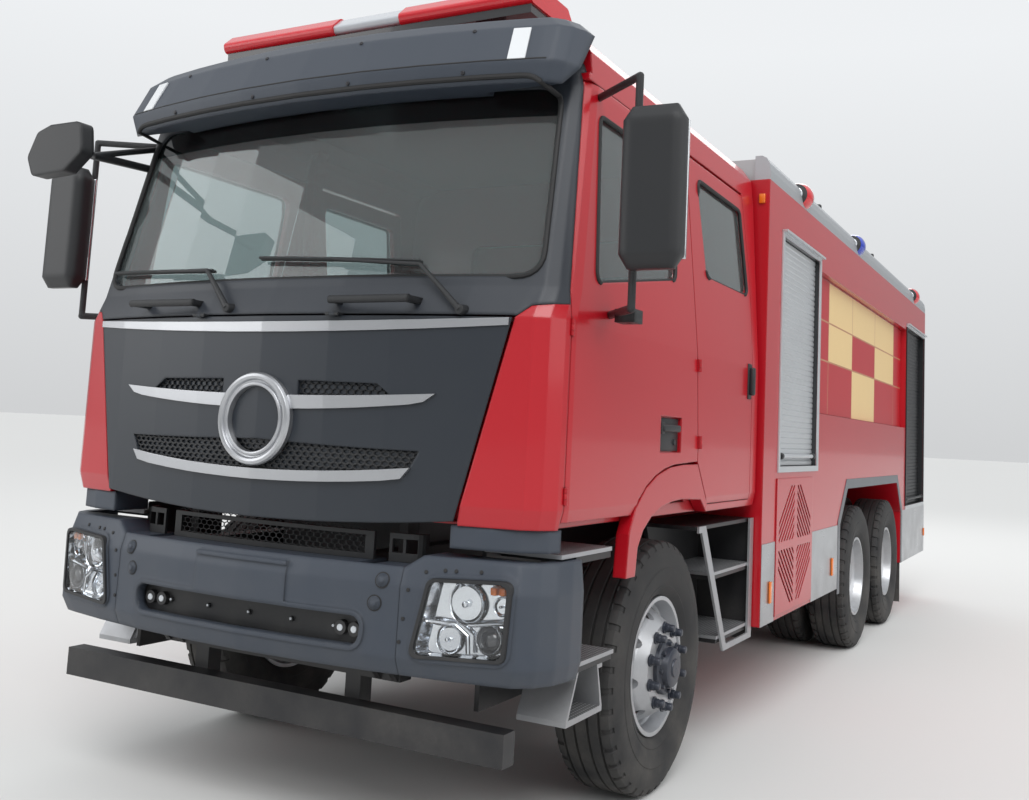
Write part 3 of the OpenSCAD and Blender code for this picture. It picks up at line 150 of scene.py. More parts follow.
def makeGrimeGroup():
    # Dust that thickens towards the road, in soft blotches
    group, start, end = newGroup(
        "roadGrime",
        [("Colour", "NodeSocketColor", (0.5, 0.5, 0.5, 1)), ("Roughness", "NodeSocketFloat", 0.4),
         ("Dust colour", "NodeSocketColor", (0.2, 0.185, 0.165, 1)), ("Amount", "NodeSocketFloat", 0.3),
         ("Height", "NodeSocketFloat", 1.2)],
        [("Colour", "NodeSocketColor"), ("Roughness", "NodeSocketFloat"), ("Mask", "NodeSocketFloat")])
    coords = objectCoords(group)
    height = addNode(group, "ShaderNodeSeparateXYZ", {"Vector": coords}).outputs["Z"]
    low = mapRange(group, doMath(group, "DIVIDE", height, start.outputs["Height"]), 0.0, 1.0, 1.0, 0.0)
    cloud = mapRange(group, noise(group, coords, 5.0, 4.0), 0.35, 0.75)
    speck = mapRange(group, noise(group, coords, 60.0, 2.0), 0.2, 0.7, 0.6, 1.0)
    soft = doMath(group, "MULTIPLY", cloud, speck)
    spread = doMath(group, "MULTIPLY", doMath(group, "ADD", low, 0.1), soft)
    mask = doMath(group, "MULTIPLY", spread, start.outputs["Amount"], clamp=True)
    colour = mixColour(group, mask, start.outputs["Colour"], start.outputs["Dust colour"])
    matt = doMath(group, "MULTIPLY", mask, 0.45)
    rough = doMath(group, "ADD", start.outputs["Roughness"], matt, clamp=True)
    for label, value in (("Colour", colour), ("Roughness", rough), ("Mask", mask)):
        group.links.new(value, end.inputs[label])
    return group


def makeGrainGroup():
    # Fine moulded or cast grain, with a slow waviness under it
    group, start, end = newGroup(
        "surfaceGrain",
        [("Scale", "NodeSocketFloat", 400.0), ("Strength", "NodeSocketFloat", 0.1),
         ("Wave", "NodeSocketFloat", 0.0), ("Edge", "NodeSocketFloat", 0.003)],
        [("Normal", "NodeSocketVector"), ("Value", "NodeSocketFloat")])
    coords = objectCoords(group)
    edge = addNode(group, "ShaderNodeBevel", {"Radius": start.outputs["Edge"]}, samples=4)
    cells = addNode(group, "ShaderNodeTexVoronoi", {"Vector": coords, "Scale": start.outputs["Scale"]})
    fine = doMath(group, "ADD", doMath(group, "MULTIPLY", cells.outputs["Distance"], 0.5),
                  doMath(group, "MULTIPLY", noise(group, coords, start.outputs["Scale"]), 0.5))
    grain = addNode(group, "ShaderNodeBump", {"Strength": start.outputs["Strength"], "Distance": 0.0006,
                                              "Height": fine, "Normal": edge.outputs["Normal"]})
    wave = addNode(group, "ShaderNodeBump", {"Strength": start.outputs["Wave"], "Distance": 0.01,
                                             "Height": noise(group, coords, 1.4, 1.0),
                                             "Normal": grain.outputs["Normal"]})
    group.links.new(wave.outputs["Normal"], end.inputs["Normal"])
    group.links.new(fine, end.inputs["Value"])
    return group


def makeBrushGroup():
    # Long fine scratches along the truck, for sheet and extrusions
    group, start, end = newGroup(
        "brushedLines",
        [("Roughness", "NodeSocketFloat", 0.3), ("Spread", "NodeSocketFloat", 0.15),
         ("Edge", "NodeSocketFloat", 0.003)],
        [("Roughness", "NodeSocketFloat"), ("Normal", "NodeSocketVector"), ("Value", "NodeSocketFloat")])
    coords = objectCoords(group)
    edge = addNode(group, "ShaderNodeBevel", {"Radius": start.outputs["Edge"]}, samples=4)
    stretch = addNode(group, "ShaderNodeMapping", {"Vector": coords, "Scale": (60.0, 3.0, 420.0)})
    lines = noise(group, stretch.outputs["Vector"], 1.0)
    value = doMath(group, "ADD", doMath(group, "MULTIPLY", lines, 0.6),
                   doMath(group, "MULTIPLY", noise(group, coords, 3.0), 0.4))
    step = doMath(group, "MULTIPLY", doMath(group, "SUBTRACT", value, 0.5), start.outputs["Spread"])
    rough = doMath(group, "ADD", start.outputs["Roughness"], step, clamp=True)
    bump = addNode(group, "ShaderNodeBump", {"Strength": 0.05, "Distance": 0.001, "Height": lines,
                                             "Normal": edge.outputs["Normal"]})
    for label, source in (("Roughness", rough), ("Normal", bump.outputs["Normal"]), ("Value", value)):
        group.links.new(source, end.inputs[label])
    return group


def makeTreadPlateGroup():
    # Raised bars of chequer plate, in two crossing directions. The value also drives the plate's colour,
    # where the bars get a painted highlight and the flat between them painted shade
    group, start, end = newGroup("treadPlate", [("Pitch", "NodeSocketFloat", 70.0)],
                                 [("Normal", "NodeSocketVector"), ("Value", "NodeSocketFloat")])
    xyz = addNode(group, "ShaderNodeSeparateXYZ", {"Vector": objectCoords(group)})
    across = doMath(group, "ADD", doMath(group, "ADD", xyz.outputs["X"], xyz.outputs["Y"]), xyz.outputs["Z"])
    along = doMath(group, "ADD", doMath(group, "SUBTRACT", xyz.outputs["X"], xyz.outputs["Y"]),
                   doMath(group, "MULTIPLY", xyz.outputs["Z"], 2.0))
    total, gap = (doMath(group, "MULTIPLY", way, start.outputs["Pitch"]) for way in (across, along))
    a, b = doMath(group, "SINE", total), doMath(group, "SINE", gap)
    squareA = doMath(group, "MULTIPLY", a, a)
    squareB = doMath(group, "MULTIPLY", b, b)
    bars = doMath(group, "ABSOLUTE", doMath(group, "SUBTRACT", squareA, squareB))
    outward = addNode(group, "ShaderNodeNewGeometry").outputs["Normal"]
    facing = addNode(group, "ShaderNodeSeparateXYZ", {"Vector": outward})
    level = doMath(group, "GREATER_THAN", facing.outputs["Z"], 0.7)
    pattern = mapRange(group, bars, 0.72, 0.86)
    raised = mapRange(group, level, 0.0, 1.0, 0.45, pattern)
    bump = addNode(group, "ShaderNodeBump", {"Strength": 1.0, "Distance": 0.005, "Height": raised})
    group.links.new(bump.outputs["Normal"], end.inputs["Normal"])
    group.links.new(raised, end.inputs["Value"])
    return group


roadGrime = makeGrimeGroup()
surfaceGrain = makeGrainGroup()
brushedLines = makeBrushGroup()
treadPlate = makeTreadPlateGroup()


def useGroup(tree, group, **values):
    node = tree.nodes.new("ShaderNodeGroup")
    node.node_tree = group
    for key, value in values.items():
        feed(tree, node.inputs[key.replace("_", " ")], value)
    return node


def zoneMask(tree, zone):
    # 1 inside a box given by ranges of x, y and z
    xyz = addNode(tree, "ShaderNodeSeparateXYZ", {"Vector": objectCoords(tree)})
    mask = 1.0
    for axis in "xyz":
        if axis in zone:
            low, high = (v + (axleY if axis == "y" else 0) for v in zone[axis])
            place = xyz.outputs[axis.upper()]
            if zone.get("both") and axis == "x":
                place = doMath(tree, "ABSOLUTE", place)
            inside = doMath(tree, "MULTIPLY", doMath(tree, "GREATER_THAN", place, low),
                            doMath(tree, "LESS_THAN", place, high))
            mask = doMath(tree, "MULTIPLY", mask, inside)
    return mask


def newMaterial(name, colour, roughness, metallic=0.0, grime=0.3, grimeHeight=1.2, grain=(400.0, 0.05),
                wave=0.0, edge=0.003, brushed=False, plate=0.0, zones=(), **shaderValues):
    material = bpy.data.materials.new(name)
    material.use_nodes = True
    tree = material.node_tree
    shader = tree.nodes["Principled BSDF"]
    rough = roughness
    if brushed:
        lines = useGroup(tree, brushedLines, Roughness=roughness, Edge=edge)
        rough, value, normal = (lines.outputs[k] for k in ("Roughness", "Value", "Normal"))
    elif plate:
        bars = useGroup(tree, treadPlate, Pitch=plate)
        value, normal = bars.outputs["Value"], bars.outputs["Normal"]
        rough = mapRange(tree, value, 0.0, 1.0, roughness + 0.12, roughness - 0.08)
    else:
        grains = useGroup(tree, surfaceGrain, Scale=grain[0], Strength=grain[1], Wave=wave, Edge=edge)
        value, normal = grains.outputs["Value"], grains.outputs["Normal"]
    # On tread plate the bars are painted lighter and the flat between them darker, as painted highlight and
    # painted shade; on other finishes the grain or brushed lines vary the tone at random
    dark, bright = (0.45, 1.35) if plate else (0.9, 1.08)
    low = tuple(c * dark for c in colour) + (1,)
    high = tuple(min(1, c * bright) for c in colour) + (1,)
    base = mixColour(tree, value, low, high)
    metal = metallic
    for zone in zones:
        mask = zoneMask(tree, zone)
        base = mixColour(tree, mask, base, (*zone["colour"], 1))
        if "metallic" in zone:
            metal = mapRange(tree, mask, 0.0, 1.0, metal, zone["metallic"])
        if "roughness" in zone:
            rough = mapRange(tree, mask, 0.0, 1.0, rough, zone["roughness"])
    dirt = useGroup(tree, roadGrime, Colour=base, Roughness=rough, Amount=grime, Height=grimeHeight)
    feed(tree, shader.inputs["Base Color"], dirt.outputs["Colour"])
    feed(tree, shader.inputs["Roughness"], dirt.outputs["Roughness"])
    feed(tree, shader.inputs["Normal"], normal)
    feed(tree, shader.inputs["Metallic"], metal)
    for key, value in shaderValues.items():
        shader.inputs[key.replace("_", " ")].default_value = value
    return material


deepRed = (0.43, 0.004, 0.012)
cream = (0.78, 0.56, 0.26)
nearBlack = (0.014, 0.015, 0.017)
slate = (0.038, 0.048, 0.066)
lampRed = (0.6, 0.01, 0.02)
lens = dict(grime=0.1, grain=(160.0, 0.2), Coat_Weight=0.5)
paint = dict(colour=deepRed, roughness=0.3, grime=0.07, grain=(900.0, 0.02), wave=0.03, edge=0.012,
             Coat_Weight=0.35, Coat_Roughness=0.08)

# Blocks of the side panels: ranges of y and z in metres
chequerBlocks = [
    {"y": (2.55, 3.09), "z": (1.74, 2.74)}, {"y": (3.09, 3.93), "z": (1.74, 2.14)},
    {"y": (3.93, 4.9), "z": (2.14, 2.42)}, {"y": (4.9, 5.87), "z": (1.74, 2.14)},
    {"y": (5.87, 6.4), "z": (1.74, 2.74)},
]
chequerLines = [{"y": (y - 0.006, y + 0.006)} for y in (3.09, 3.93, 4.9, 5.87)]
chequerLines += [{"z": (z - 0.006, z + 0.006)} for z in (2.14, 2.42)]

finishes = {
    "redPaint": dict(**paint),
    # Body paint with painted shade: the inner sides of the front shutter recess and of the rear bay recess
    # are painted near-black
    "bodyPaintWithShade": dict(**paint, zones=[
        {"both": True, "x": (1.1, 1.2494), "y": (1.59, 2.54), "z": (1.4, 2.78), "colour": nearBlack},
        {"both": True, "x": (1.1, 1.2494), "y": (6.32, 7.5), "z": (0.99, 2.76), "colour": nearBlack}]),
    "hingeBlack": dict(colour=nearBlack, roughness=0.45,
                       zones=[{"both": True, "x": (1.15, 1.3), "z": (1.25, 3.0),
                               "colour": (0.36, 0.005, 0.012), "roughness": 0.3}]),
    "slatePlastic": dict(colour=slate, roughness=0.42, grain=(500.0, 0.06), grime=0.2, edge=0.03),
    "cowlPlastic": dict(colour=(0.026, 0.031, 0.04), roughness=0.42, grain=(500.0, 0.06), edge=0.02),
    "panelPlastic": dict(colour=(0.018, 0.023, 0.031), roughness=0.36, grain=(500.0, 0.05), grime=0.1,
                         edge=0.012),
    "trimPlastic": dict(colour=nearBlack, roughness=0.45, grain=(700.0, 0.1), edge=0.02,
                        zones=[{"z": (0.0, 1.25), "colour": slate}]),
    "blackPlastic": dict(colour=nearBlack, roughness=0.48, grain=(700.0, 0.1)),
    "mirrorPlastic": dict(colour=nearBlack, roughness=0.42, grain=(700.0, 0.08), grime=0.1, edge=0.04),
    "rubber": dict(colour=(0.012, 0.012, 0.013), roughness=0.62, grain=(500.0, 0.08), grime=0.2),
    "chassisBlack": dict(colour=(0.013, 0.013, 0.015), roughness=0.42, grime=0.25, grain=(150.0, 0.08)),
    "engineGrey": dict(colour=(0.1, 0.105, 0.11), roughness=0.55, metallic=0.4, grime=0.8,
                       grain=(120.0, 0.2)),
    "aluminium": dict(colour=(0.62, 0.64, 0.66), roughness=0.38, metallic=0.85, brushed=True),
    "shutterMetal": dict(colour=(0.6, 0.62, 0.64), roughness=0.42, metallic=0.7, brushed=True,
                         zones=[{"y": (6.2, 7.56), "z": (1.0, 2.75), "colour": (0.03, 0.032, 0.036)}]),
    "deckPlate": dict(colour=(0.6, 0.62, 0.63), roughness=0.4, metallic=0.75, plate=75.0,
                      zones=[{"both": True, "x": (1.15, 1.3), "colour": (0.5, 0.52, 0.54),
                              "roughness": 0.4}]),
    "stepPlate": dict(colour=(0.52, 0.53, 0.55), roughness=0.4, metallic=0.8, plate=90.0, grime=0.5),
    "stainless": dict(colour=(0.46, 0.47, 0.49), roughness=0.28, metallic=0.95, brushed=True, grime=0.5),
    "archMetal": dict(colour=(0.2, 0.21, 0.23), roughness=0.4, metallic=0.8, brushed=True, grime=0.5,
                      zones=[{"z": (0.0, 0.4801), "colour": (0.013, 0.013, 0.014), "metallic": 0.0,
                              "roughness": 0.6}]),
    "chequer": dict(colour=cream, roughness=0.36, grime=0.15, grain=(900.0, 0.04),
                    zones=[{**block, "colour": deepRed} for block in chequerBlocks]
                    + [{**line, "colour": (0.45, 0.2, 0.1)} for line in chequerLines]),
    "chromeBar": dict(colour=(0.5, 0.51, 0.53), roughness=0.3, metallic=0.9, grime=0.15, grain=(800.0, 0.03)),
    "reflector": dict(colour=(0.75, 0.77, 0.8), roughness=0.12, metallic=1.0, grime=0.0, grain=(200.0, 0.05)),
    "rimPaint": dict(colour=(0.5, 0.51, 0.53), roughness=0.34, metallic=0.7, grime=0.55, grain=(300.0, 0.06)),
    "nutMetal": dict(colour=(0.05, 0.05, 0.055), roughness=0.35, metallic=0.8, grime=0.4),
    "hubPaint": dict(colour=(0.03, 0.036, 0.052), roughness=0.34, metallic=0.2, grime=0.25,
                     grain=(300.0, 0.08)),
    "tyreRubber": dict(colour=(0.016, 0.016, 0.017), roughness=0.7, grime=0.4, grain=(260.0, 0.15)),
    "seatCloth": dict(colour=(0.03, 0.031, 0.035), roughness=0.85, grime=0.0, grain=(900.0, 0.4)),
    "lightBar": dict(colour=lampRed, roughness=0.16, grime=0.1, grain=(120.0, 0.15), Coat_Weight=0.5,
                     zones=[{"both": True, "x": (-0.01, 0.1818), "z": (3.292, 3.5),
                             "colour": (0.5, 0.52, 0.55)},
                            {"z": (3.1, 3.292), "colour": (0.03, 0.03, 0.033)},
                            {"z": (2.8, 3.1), "colour": (0.72, 0.74, 0.76)}]),
    "amberLens": dict(colour=(0.75, 0.17, 0.01), roughness=0.18, **lens),
    "darkLens": dict(colour=(0.012, 0.014, 0.02), roughness=0.08, grime=0.0, grain=(100.0, 0.02),
                     Coat_Weight=1.0),
    "redLens": dict(colour=lampRed, roughness=0.15, **lens),
    "blueLens": dict(colour=(0.01, 0.04, 0.45), roughness=0.15, **lens),
    "clearLens": dict(colour=(0.62, 0.65, 0.68), roughness=0.15, **lens),
    "mirrorGlass": dict(colour=(0.6, 0.62, 0.64), roughness=0.04, metallic=1.0, grime=0.05,
                        grain=(50.0, 0.01)),
}
materials = {name: newMaterial(name, **values) for name, values in finishes.items()}


def makeGlass(name, colour, transmission, zones=()):
    material = bpy.data.materials.new(name)
    material.use_nodes = True
    tree = material.node_tree
    shader = tree.nodes["Principled BSDF"]
    shader.inputs["Transmission Weight"].default_value = transmission
    shader.inputs["Roughness"].default_value = 0.0
    shader.inputs["IOR"].default_value = 1.45
    base = (*colour, 1)
    for zone in zones:
        base = mixColour(tree, zoneMask(tree, zone), base, (*zone["colour"], 1))
    dirt = useGroup(tree, roadGrime, Colour=base, Roughness=0.0, Amount=0.03, Height=4.0)
    feed(tree, shader.inputs["Base Color"], dirt.outputs["Colour"])
    return material


screenBand = [{"y": (-1.5, -0.93), "z": (2.745, 3.0), "colour": (0.06, 0.075, 0.08)}]
materials["tintedGlass"] = makeGlass("tintedGlass", (0.5, 0.58, 0.58), 0.92, screenBand)
materials["lampGlass"] = makeGlass("lampGlass", (0.95, 0.97, 0.98), 0.97)

slotFinish = {
    "chassis_black": "chassisBlack", "bumper_slate": "slatePlastic", "lamp_clear": "lampGlass",
    "engine_grey": "engineGrey", "red_paint": "redPaint", "aluminium": "aluminium", "chequer": "chequer",
    "stainless": "stainless", "lens": "lightBar", "glass": "tintedGlass", "dark_plastic": "blackPlastic",
    "seat_fabric": "seatCloth", "chrome": "chromeBar", "tyre_rubber": "tyreRubber", "rim_paint": "rimPaint",
}
nodeFinish = {
    "surround": "cowlPlastic", "front_panel": "panelPlastic", "front_trim": "trimPlastic",
    "frame": "chassisBlack", "shutters": "shutterMetal", "roof_deck": "deckPlate",
    "step_treads": "stepPlate", "arch_trims": "archMetal", "body_shell": "bodyPaintWithShade",
    "cab_hinges": "hingeBlack", "mirror_left": "mirrorPlastic", "mirror_right": "mirrorPlastic",
}
for part in frame["record"]["subparts"]:
    mesh = nodes[part["node"]].data
    mesh.materials.clear()
    mesh.materials.append(materials[nodeFinish.get(part["node"], slotFinish[part["material_slot"]])])
print("finishes ready")

# Modelling helpers. A block or rod is added to a bmesh, and addPiece makes the bmesh an object


def addPiece(name, bm, body, finish, smooth=True, replaces=()):
    bmesh.ops.recalc_face_normals(bm, faces=bm.faces)
    mesh = bpy.data.meshes.new(name)
    bm.to_mesh(mesh)
    bm.free()
    mesh.materials.append(materials[finish])
    if smooth:
        for polygon in mesh.polygons:
            polygon.use_smooth = True
        mesh.set_sharp_from_angle(angle=math.radians(38))
    obj = bpy.data.objects.new(name, mesh)
    bpy.context.scene.collection.objects.link(obj)
    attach(obj, body)
    if replaces:
        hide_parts(*replaces)
    return obj


def edgesOf(verts):
    return list(dict.fromkeys(e for v in verts for e in v.link_edges))


def vertsOf(faces):
    return list(dict.fromkeys(v for f in faces for v in f.verts))


def addBlock(bm, low, high, bevel=0.003, segments=2):
    low, high = Vector(low), Vector(high)
    low, high = (Vector(f(a, b) for a, b in zip(low, high)) for f in (min, max))
    verts = bmesh.ops.create_cube(bm, size=1)["verts"]
    bmesh.ops.scale(bm, vec=high - low, verts=verts)
    if bevel:
        made = bmesh.ops.bevel(bm, geom=edgesOf(verts), offset=bevel, segments=segments, profile=0.5,
                               affect="EDGES", material=-1, clamp_overlap=True)
        verts = connected(vertsOf(made["faces"]))
    bmesh.ops.translate(bm, vec=(low + high) / 2, verts=verts)
    return verts


def connected(verts):
    # All the vertices that edges join to the given ones
    found, queue = dict.fromkeys(verts), list(verts)
    while queue:
        for edge in queue.pop().link_edges:
            for v in edge.verts:
                if v not in found:
                    found[v] = None
                    queue.append(v)
    return list(found)


def addRod(bm, a, b, radius, radius2=None, segments=20, bevel=0.0):
    a, b = Vector(a), Vector(b)
    made = bmesh.ops.create_cone(bm, cap_ends=True, segments=segments, radius1=radius,
                                 radius2=radius if radius2 is None else radius2, depth=(b - a).length)
    verts = made["verts"]
    if bevel:
        ends = [e for e in edgesOf(verts) if abs(e.verts[0].co.z - e.verts[1].co.z) < 1e-6]
        rims = bmesh.ops.bevel(bm, geom=ends, offset=bevel, segments=2, profile=0.5, affect="EDGES",
                               material=-1)
        verts = connected(vertsOf(rims["faces"]))
    turn = (b - a).to_track_quat("Z", "Y").to_matrix().to_4x4()
    bmesh.ops.transform(bm, matrix=Matrix.Translation((a + b) / 2) @ turn, verts=verts)
    return verts


def addSpin(bm, profile, place, axis, steps=48):
    # Profile points are (radius, distance along the axis)
    turn = Vector(axis).to_track_quat("Z", "Y").to_matrix()
    ring = [bm.verts.new(Vector(place) + turn @ Vector((r, 0, h))) for r, h in profile]
    edges = [bm.edges.new((a, b)) for a, b in zip(ring, ring[1:])]
    bmesh.ops.spin(bm, geom=ring + edges, cent=Vector(place), axis=turn @ Vector((0, 0, 1)), dvec=(0, 0, 0),
                   angle=math.tau, steps=steps, use_merge=True, use_duplicate=False)
    bmesh.ops.remove_doubles(bm, verts=bm.verts, dist=1e-5)


def addTubes(name, lines, radius, body, finish, closed=False, resolution=2):
    curve = bpy.data.curves.new(name, "CURVE")
    curve.dimensions = "3D"
    curve.bevel_depth = radius
    curve.bevel_resolution = resolution
    curve.use_fill_caps = True
    for line in lines:
        spline = curve.splines.new("POLY")
        spline.points.add(len(line) - 1)
        for point, place in zip(spline.points, line):
            point.co = (*place, 1)
        spline.use_cyclic_u = closed
    holder = bpy.data.objects.new(name, curve)
    bm = bmesh.new()
    bm.from_mesh(bpy.data.meshes.new_from_object(holder))
    bpy.data.objects.remove(holder)
    return addPiece(name, bm, body, finish)


def surfaceOf(*names):
    points, faces = [], []
    for name in names:
        mesh = nodes[name].data
        base = len(points)
        points += [v.co.copy() for v in mesh.vertices]
        faces += [[base + i for i in p.vertices] for p in mesh.polygons]
    return BVHTree.FromPolygons(points, faces)


def castOn(surface, start, way):
    # The point that a ray hits, or past an edge the nearest one
    for lift in (0.0, 0.006, -0.006, 0.012, -0.012, 0.02, -0.02):
        hit = surface.ray_cast(start + Vector((0, 0, lift)) - way * 10, way)[0]
        if hit:
            return hit - Vector((0, 0, lift))
    return surface.find_nearest(start)[0]


def fromFront(surface, x, z, out=0.0):
    return castOn(surface, at(x, -1.3, z), Vector((0, 1, 0))) - Vector((0, out, 0))


def frontHit(surface, x, z):
    # Point on the front and the way that the surface faces there
    hit, normal = surface.ray_cast(at(x, -3, z), Vector((0, 1, 0)))[:2]
    return hit, normal if normal.y < 0 else -normal


def fromSide(surface, side, y, z, out=0.0):
    return castOn(surface, at(side * 1.2, y, z), Vector((-side, 0, 0))) + Vector((side * out, 0, 0))


def roundedLine(corners, radius, steps=6):
    # Closed line with its corners rounded, from corners in the plane
    line = []
    count = len(corners)
    for i, corner in enumerate(corners):
        p = Vector(corner)
        a = (Vector(corners[i - 1]) - p).normalized()
        b = (Vector(corners[(i + 1) % count]) - p).normalized()
        half = math.acos(max(-1, min(1, a.dot(b)))) / 2
        start, end = p + a * radius / math.tan(half), p + b * radius / math.tan(half)
        for k in range(steps + 1):
            u = k / steps
            line.append(start * (1 - u) ** 2 + p * 2 * u * (1 - u) + end * u ** 2)
    return line


def denseLine(points, gap=0.04):
    line = []
    for a, b in zip(points, points[1:]):
        a, b = Vector(a), Vector(b)
        count = max(1, round((b - a).length / gap))
        line += [a.lerp(b, k / count) for k in range(count)]
    return line + [Vector(points[-1])]


frontSkin = surfaceOf("front_panel", "surround", "visor", "windscreen", "wings")
bumperSkin = surfaceOf("bumper")
print("helpers ready")

# Honeycomb mesh behind the front panel's fields and in the lower grille
grille = {
    "cell": 0.019, "flat": 0.62, "bar": 0.0028, "depth": 0.004,
    "bowRadius": 4.74,
    "panelY": -1.379, "lowerY": -1.289,
    "wide": {"half": 0.72, "z": (1.335, 1.475), "dip": 0.04, "dipAt": 0.7},
    "upper": {"x": (0.18, 0.6), "z": (1.62, 1.7)},
    "lower": {"half": 0.48, "z": (1.06, 1.14)},
}


def addHoneycomb(bm, inside, xRange, zRange, yAt, s):
    width, height = s["cell"] * math.sqrt(3), s["cell"] * 1.5 * s["flat"]
    rows = int((zRange[1] - zRange[0]) / height) + 2
    for row in range(rows):
        z = zRange[0] + row * height
        columns = int((xRange[1] - xRange[0]) / width) + 2
        for column in range(columns):
            x = xRange[0] + (column + (row % 2) / 2) * width
            if not inside(x, z):
                continue
            ring = bmesh.ops.create_circle(bm, cap_ends=True, segments=6, radius=s["cell"])["verts"]
            face = ring[0].link_faces[0]
            bmesh.ops.inset_individual(bm, faces=[face], thickness=s["bar"])
            verts = connected(ring)
            bmesh.ops.delete(bm, geom=[face], context="FACES_ONLY")
            bmesh.ops.scale(bm, vec=(1, s["flat"], 1), verts=verts)
            bmesh.ops.rotate(bm, cent=(0, 0, 0), matrix=Matrix.Rotation(math.pi / 2, 3, "X"), verts=verts)
            bmesh.ops.translate(bm, vec=Vector((x, yAt(x) + axleY, z)), verts=verts)
    bmesh.ops.solidify(bm, geom=bm.faces[:], thickness=s["depth"])


def bow(x):
    # How far the bowed front falls back at x
    return x * x / (2 * grille["bowRadius"])


def makeGrilleMesh(s):
    wide, upper, lower = s["wide"], s["upper"], s["lower"]
    margin = 0.01

    def inWide(x, z):
        base = wide["z"][0] + wide["dip"] * (x / wide["dipAt"]) ** 2
        return abs(x) < wide["half"] and base < z < wide["z"][1]

    def inUpper(x, z):
        return upper["x"][0] < abs(x) < upper["x"][1] and upper["z"][0] < z < upper["z"][1]

    def inLower(x, z):
        return abs(x) < lower["half"]

    def panelFace(x):
        return s["panelY"] + bow(x)

    def lowerFace(x):
        return s["lowerY"] + bow(x)

    bm = bmesh.new()
    reach = (-wide["half"] - margin, wide["half"] + margin)
    wideZ = (wide["z"][0] - margin / 2, wide["z"][1] + margin / 2)
    addHoneycomb(bm, inWide, reach, wideZ, panelFace, s)
    addHoneycomb(bm, inUpper, reach, upper["z"], panelFace, s)
    addPiece("panelMesh", bm, "nose_panel", "blackPlastic", smooth=False)
    bm = bmesh.new()
    addHoneycomb(bm, inLower, (-lower["half"] - margin, lower["half"] + margin), lower["z"], lowerFace, s)
    addPiece("lowerMesh", bm, "chassis", "blackPlastic", smooth=False)


makeGrilleMesh(grille)
print("grille mesh ready")

# Windscreen gasket and wipers
screen = {
    "corners": [(-1.112, 2.098), (1.112, 2.098), (1.07, 2.862), (-1.07, 2.862)],
    "radius": 0.095,
    "gasket": 0.011,
    "wipers": {
        "Left": {"pivot": (0.858, 1.965), "elbow": (0.662, 2.139),
                 "blade": [(0.649, 2.151), (-0.109, 2.183)]},
        "Right": {"pivot": (-0.2, 1.976), "elbow": (-0.377, 2.141),
                  "blade": [(-0.36, 2.139), (-1.076, 2.166)]},
    },
}


def makeScreenTrim(s):
    outline = roundedLine(s["corners"], s["radius"])
    line = [fromFront(frontSkin, x, z) for x, z in denseLine(outline + outline[:1])[:-1]]
    line = [Vector((p.x * 1.004, p.y, p.z)) for p in line]
    addTubes("screenGasket", [line], s["gasket"], "cab", "rubber", closed=True)
    for name, w in s["wipers"].items():
        pivot = fromFront(frontSkin, *w["pivot"], 0.012)
        elbow = fromFront(frontSkin, *w["elbow"], 0.05)
        start, end = w["blade"]
        middle = [(a + b) / 2 for a, b in zip(start, end)]
        bm = bmesh.new()
        addRod(bm, pivot + Vector((0, 0.06, 0)), pivot - Vector((0, 0.02, 0)), 0.024, 0.018, bevel=0.003)
        addRod(bm, pivot - Vector((0, 0.012, 0)), elbow, 0.013, 0.009, segments=8)
        addRod(bm, elbow, fromFront(frontSkin, *middle, 0.045), 0.009, 0.006, segments=8)
        addPiece(f"wiperArm{name}", bm, "cab", "blackPlastic")
        points = [fromFront(frontSkin, x, z, 0.02) for x, z in denseLine([start, end], 0.06)]
        spine = [p - Vector((0, 0.014, -0.004)) for p in points]
        addTubes(f"wiperRubber{name}", [points], 0.007, "cab", "rubber", resolution=1)
        addTubes(f"wiperSpine{name}", [spine], 0.0065, "cab", "blackPlastic", resolution=1)


makeScreenTrim(screen)
print("windscreen trim ready")

# Visor seam and screws, bumper bolts and the small lamps in the bumper slot
screws = {
    "visorSeam": 2.922,
    "visorScrews": [(x, z) for z in (2.883, 3.072) for x in (-0.755, -0.25, 0.25, 0.755)],
    "bumperBolts": [(0.631, 0.994), (0.608, 0.913)],
    "slotLamps": [(x, 0.806, 0.006) for x in (-0.41, -0.21, 0.0, 0.21, 0.41)]
    + [(x, 0.806, 0.015) for x in (-0.512, -0.45, 0.45, 0.512)],
    "frameScrews": [(0.79, 1.035), (0.86, 1.045), (0.9, 1.046), (0.99, 1.05), (0.735, 0.97), (0.722, 0.87),
                    (0.712, 0.79)],
}


def makeScrews(s):
    line = [fromFront(frontSkin, x / 50, s["visorSeam"], -0.001) for x in range(-54, 55)]
    addTubes("visorSeam", [line], 0.004, "cab", "rubber", resolution=1)
    bm = bmesh.new()
    for x, z in s["visorScrews"]:
        p, out = frontHit(frontSkin, x, z)
        addRod(bm, p - out * 0.01, p + out * 0.005, 0.011, 0.008, segments=14, bevel=0.002)
    addPiece("visorScrews", bm, "cab", "nutMetal")
    bm = bmesh.new()
    small = bmesh.new()
    for side in (1, -1):
        for x, z in s["bumperBolts"]:
            p, out = frontHit(bumperSkin, side * x, z)
            addRod(small, p - out * 0.01, p + out * 0.0012, 0.029, segments=24)
            addRod(bm, p - out * 0.01, p + out * 0.006, 0.0245, segments=24, bevel=0.003)
            addRod(bm, p, p + out * 0.013, 0.013, segments=6, bevel=0.002)
        for x, z in s["frameScrews"]:
            p, out = frontHit(bumperSkin, side * x, z)
            addRod(small, p - out * 0.01, p + out * 0.003, 0.007, segments=10)
    lenses = bmesh.new()
    strip = surfaceOf("lower_grille")
    for x, z, r in s["slotLamps"]:
        p, out = frontHit(strip, x, z)
        addRod(lenses, p - out * 0.006, p + out * 0.003, r, r * 0.8, segments=16, bevel=0.001)
    addPiece("slotLamps", lenses, "chassis", "clearLens")
    addPiece("bumperBolts", bm, "chassis", "slatePlastic")
    addPiece("bumperScrews", small, "chassis", "rubber")


makeScrews(screws)
print("screws ready")

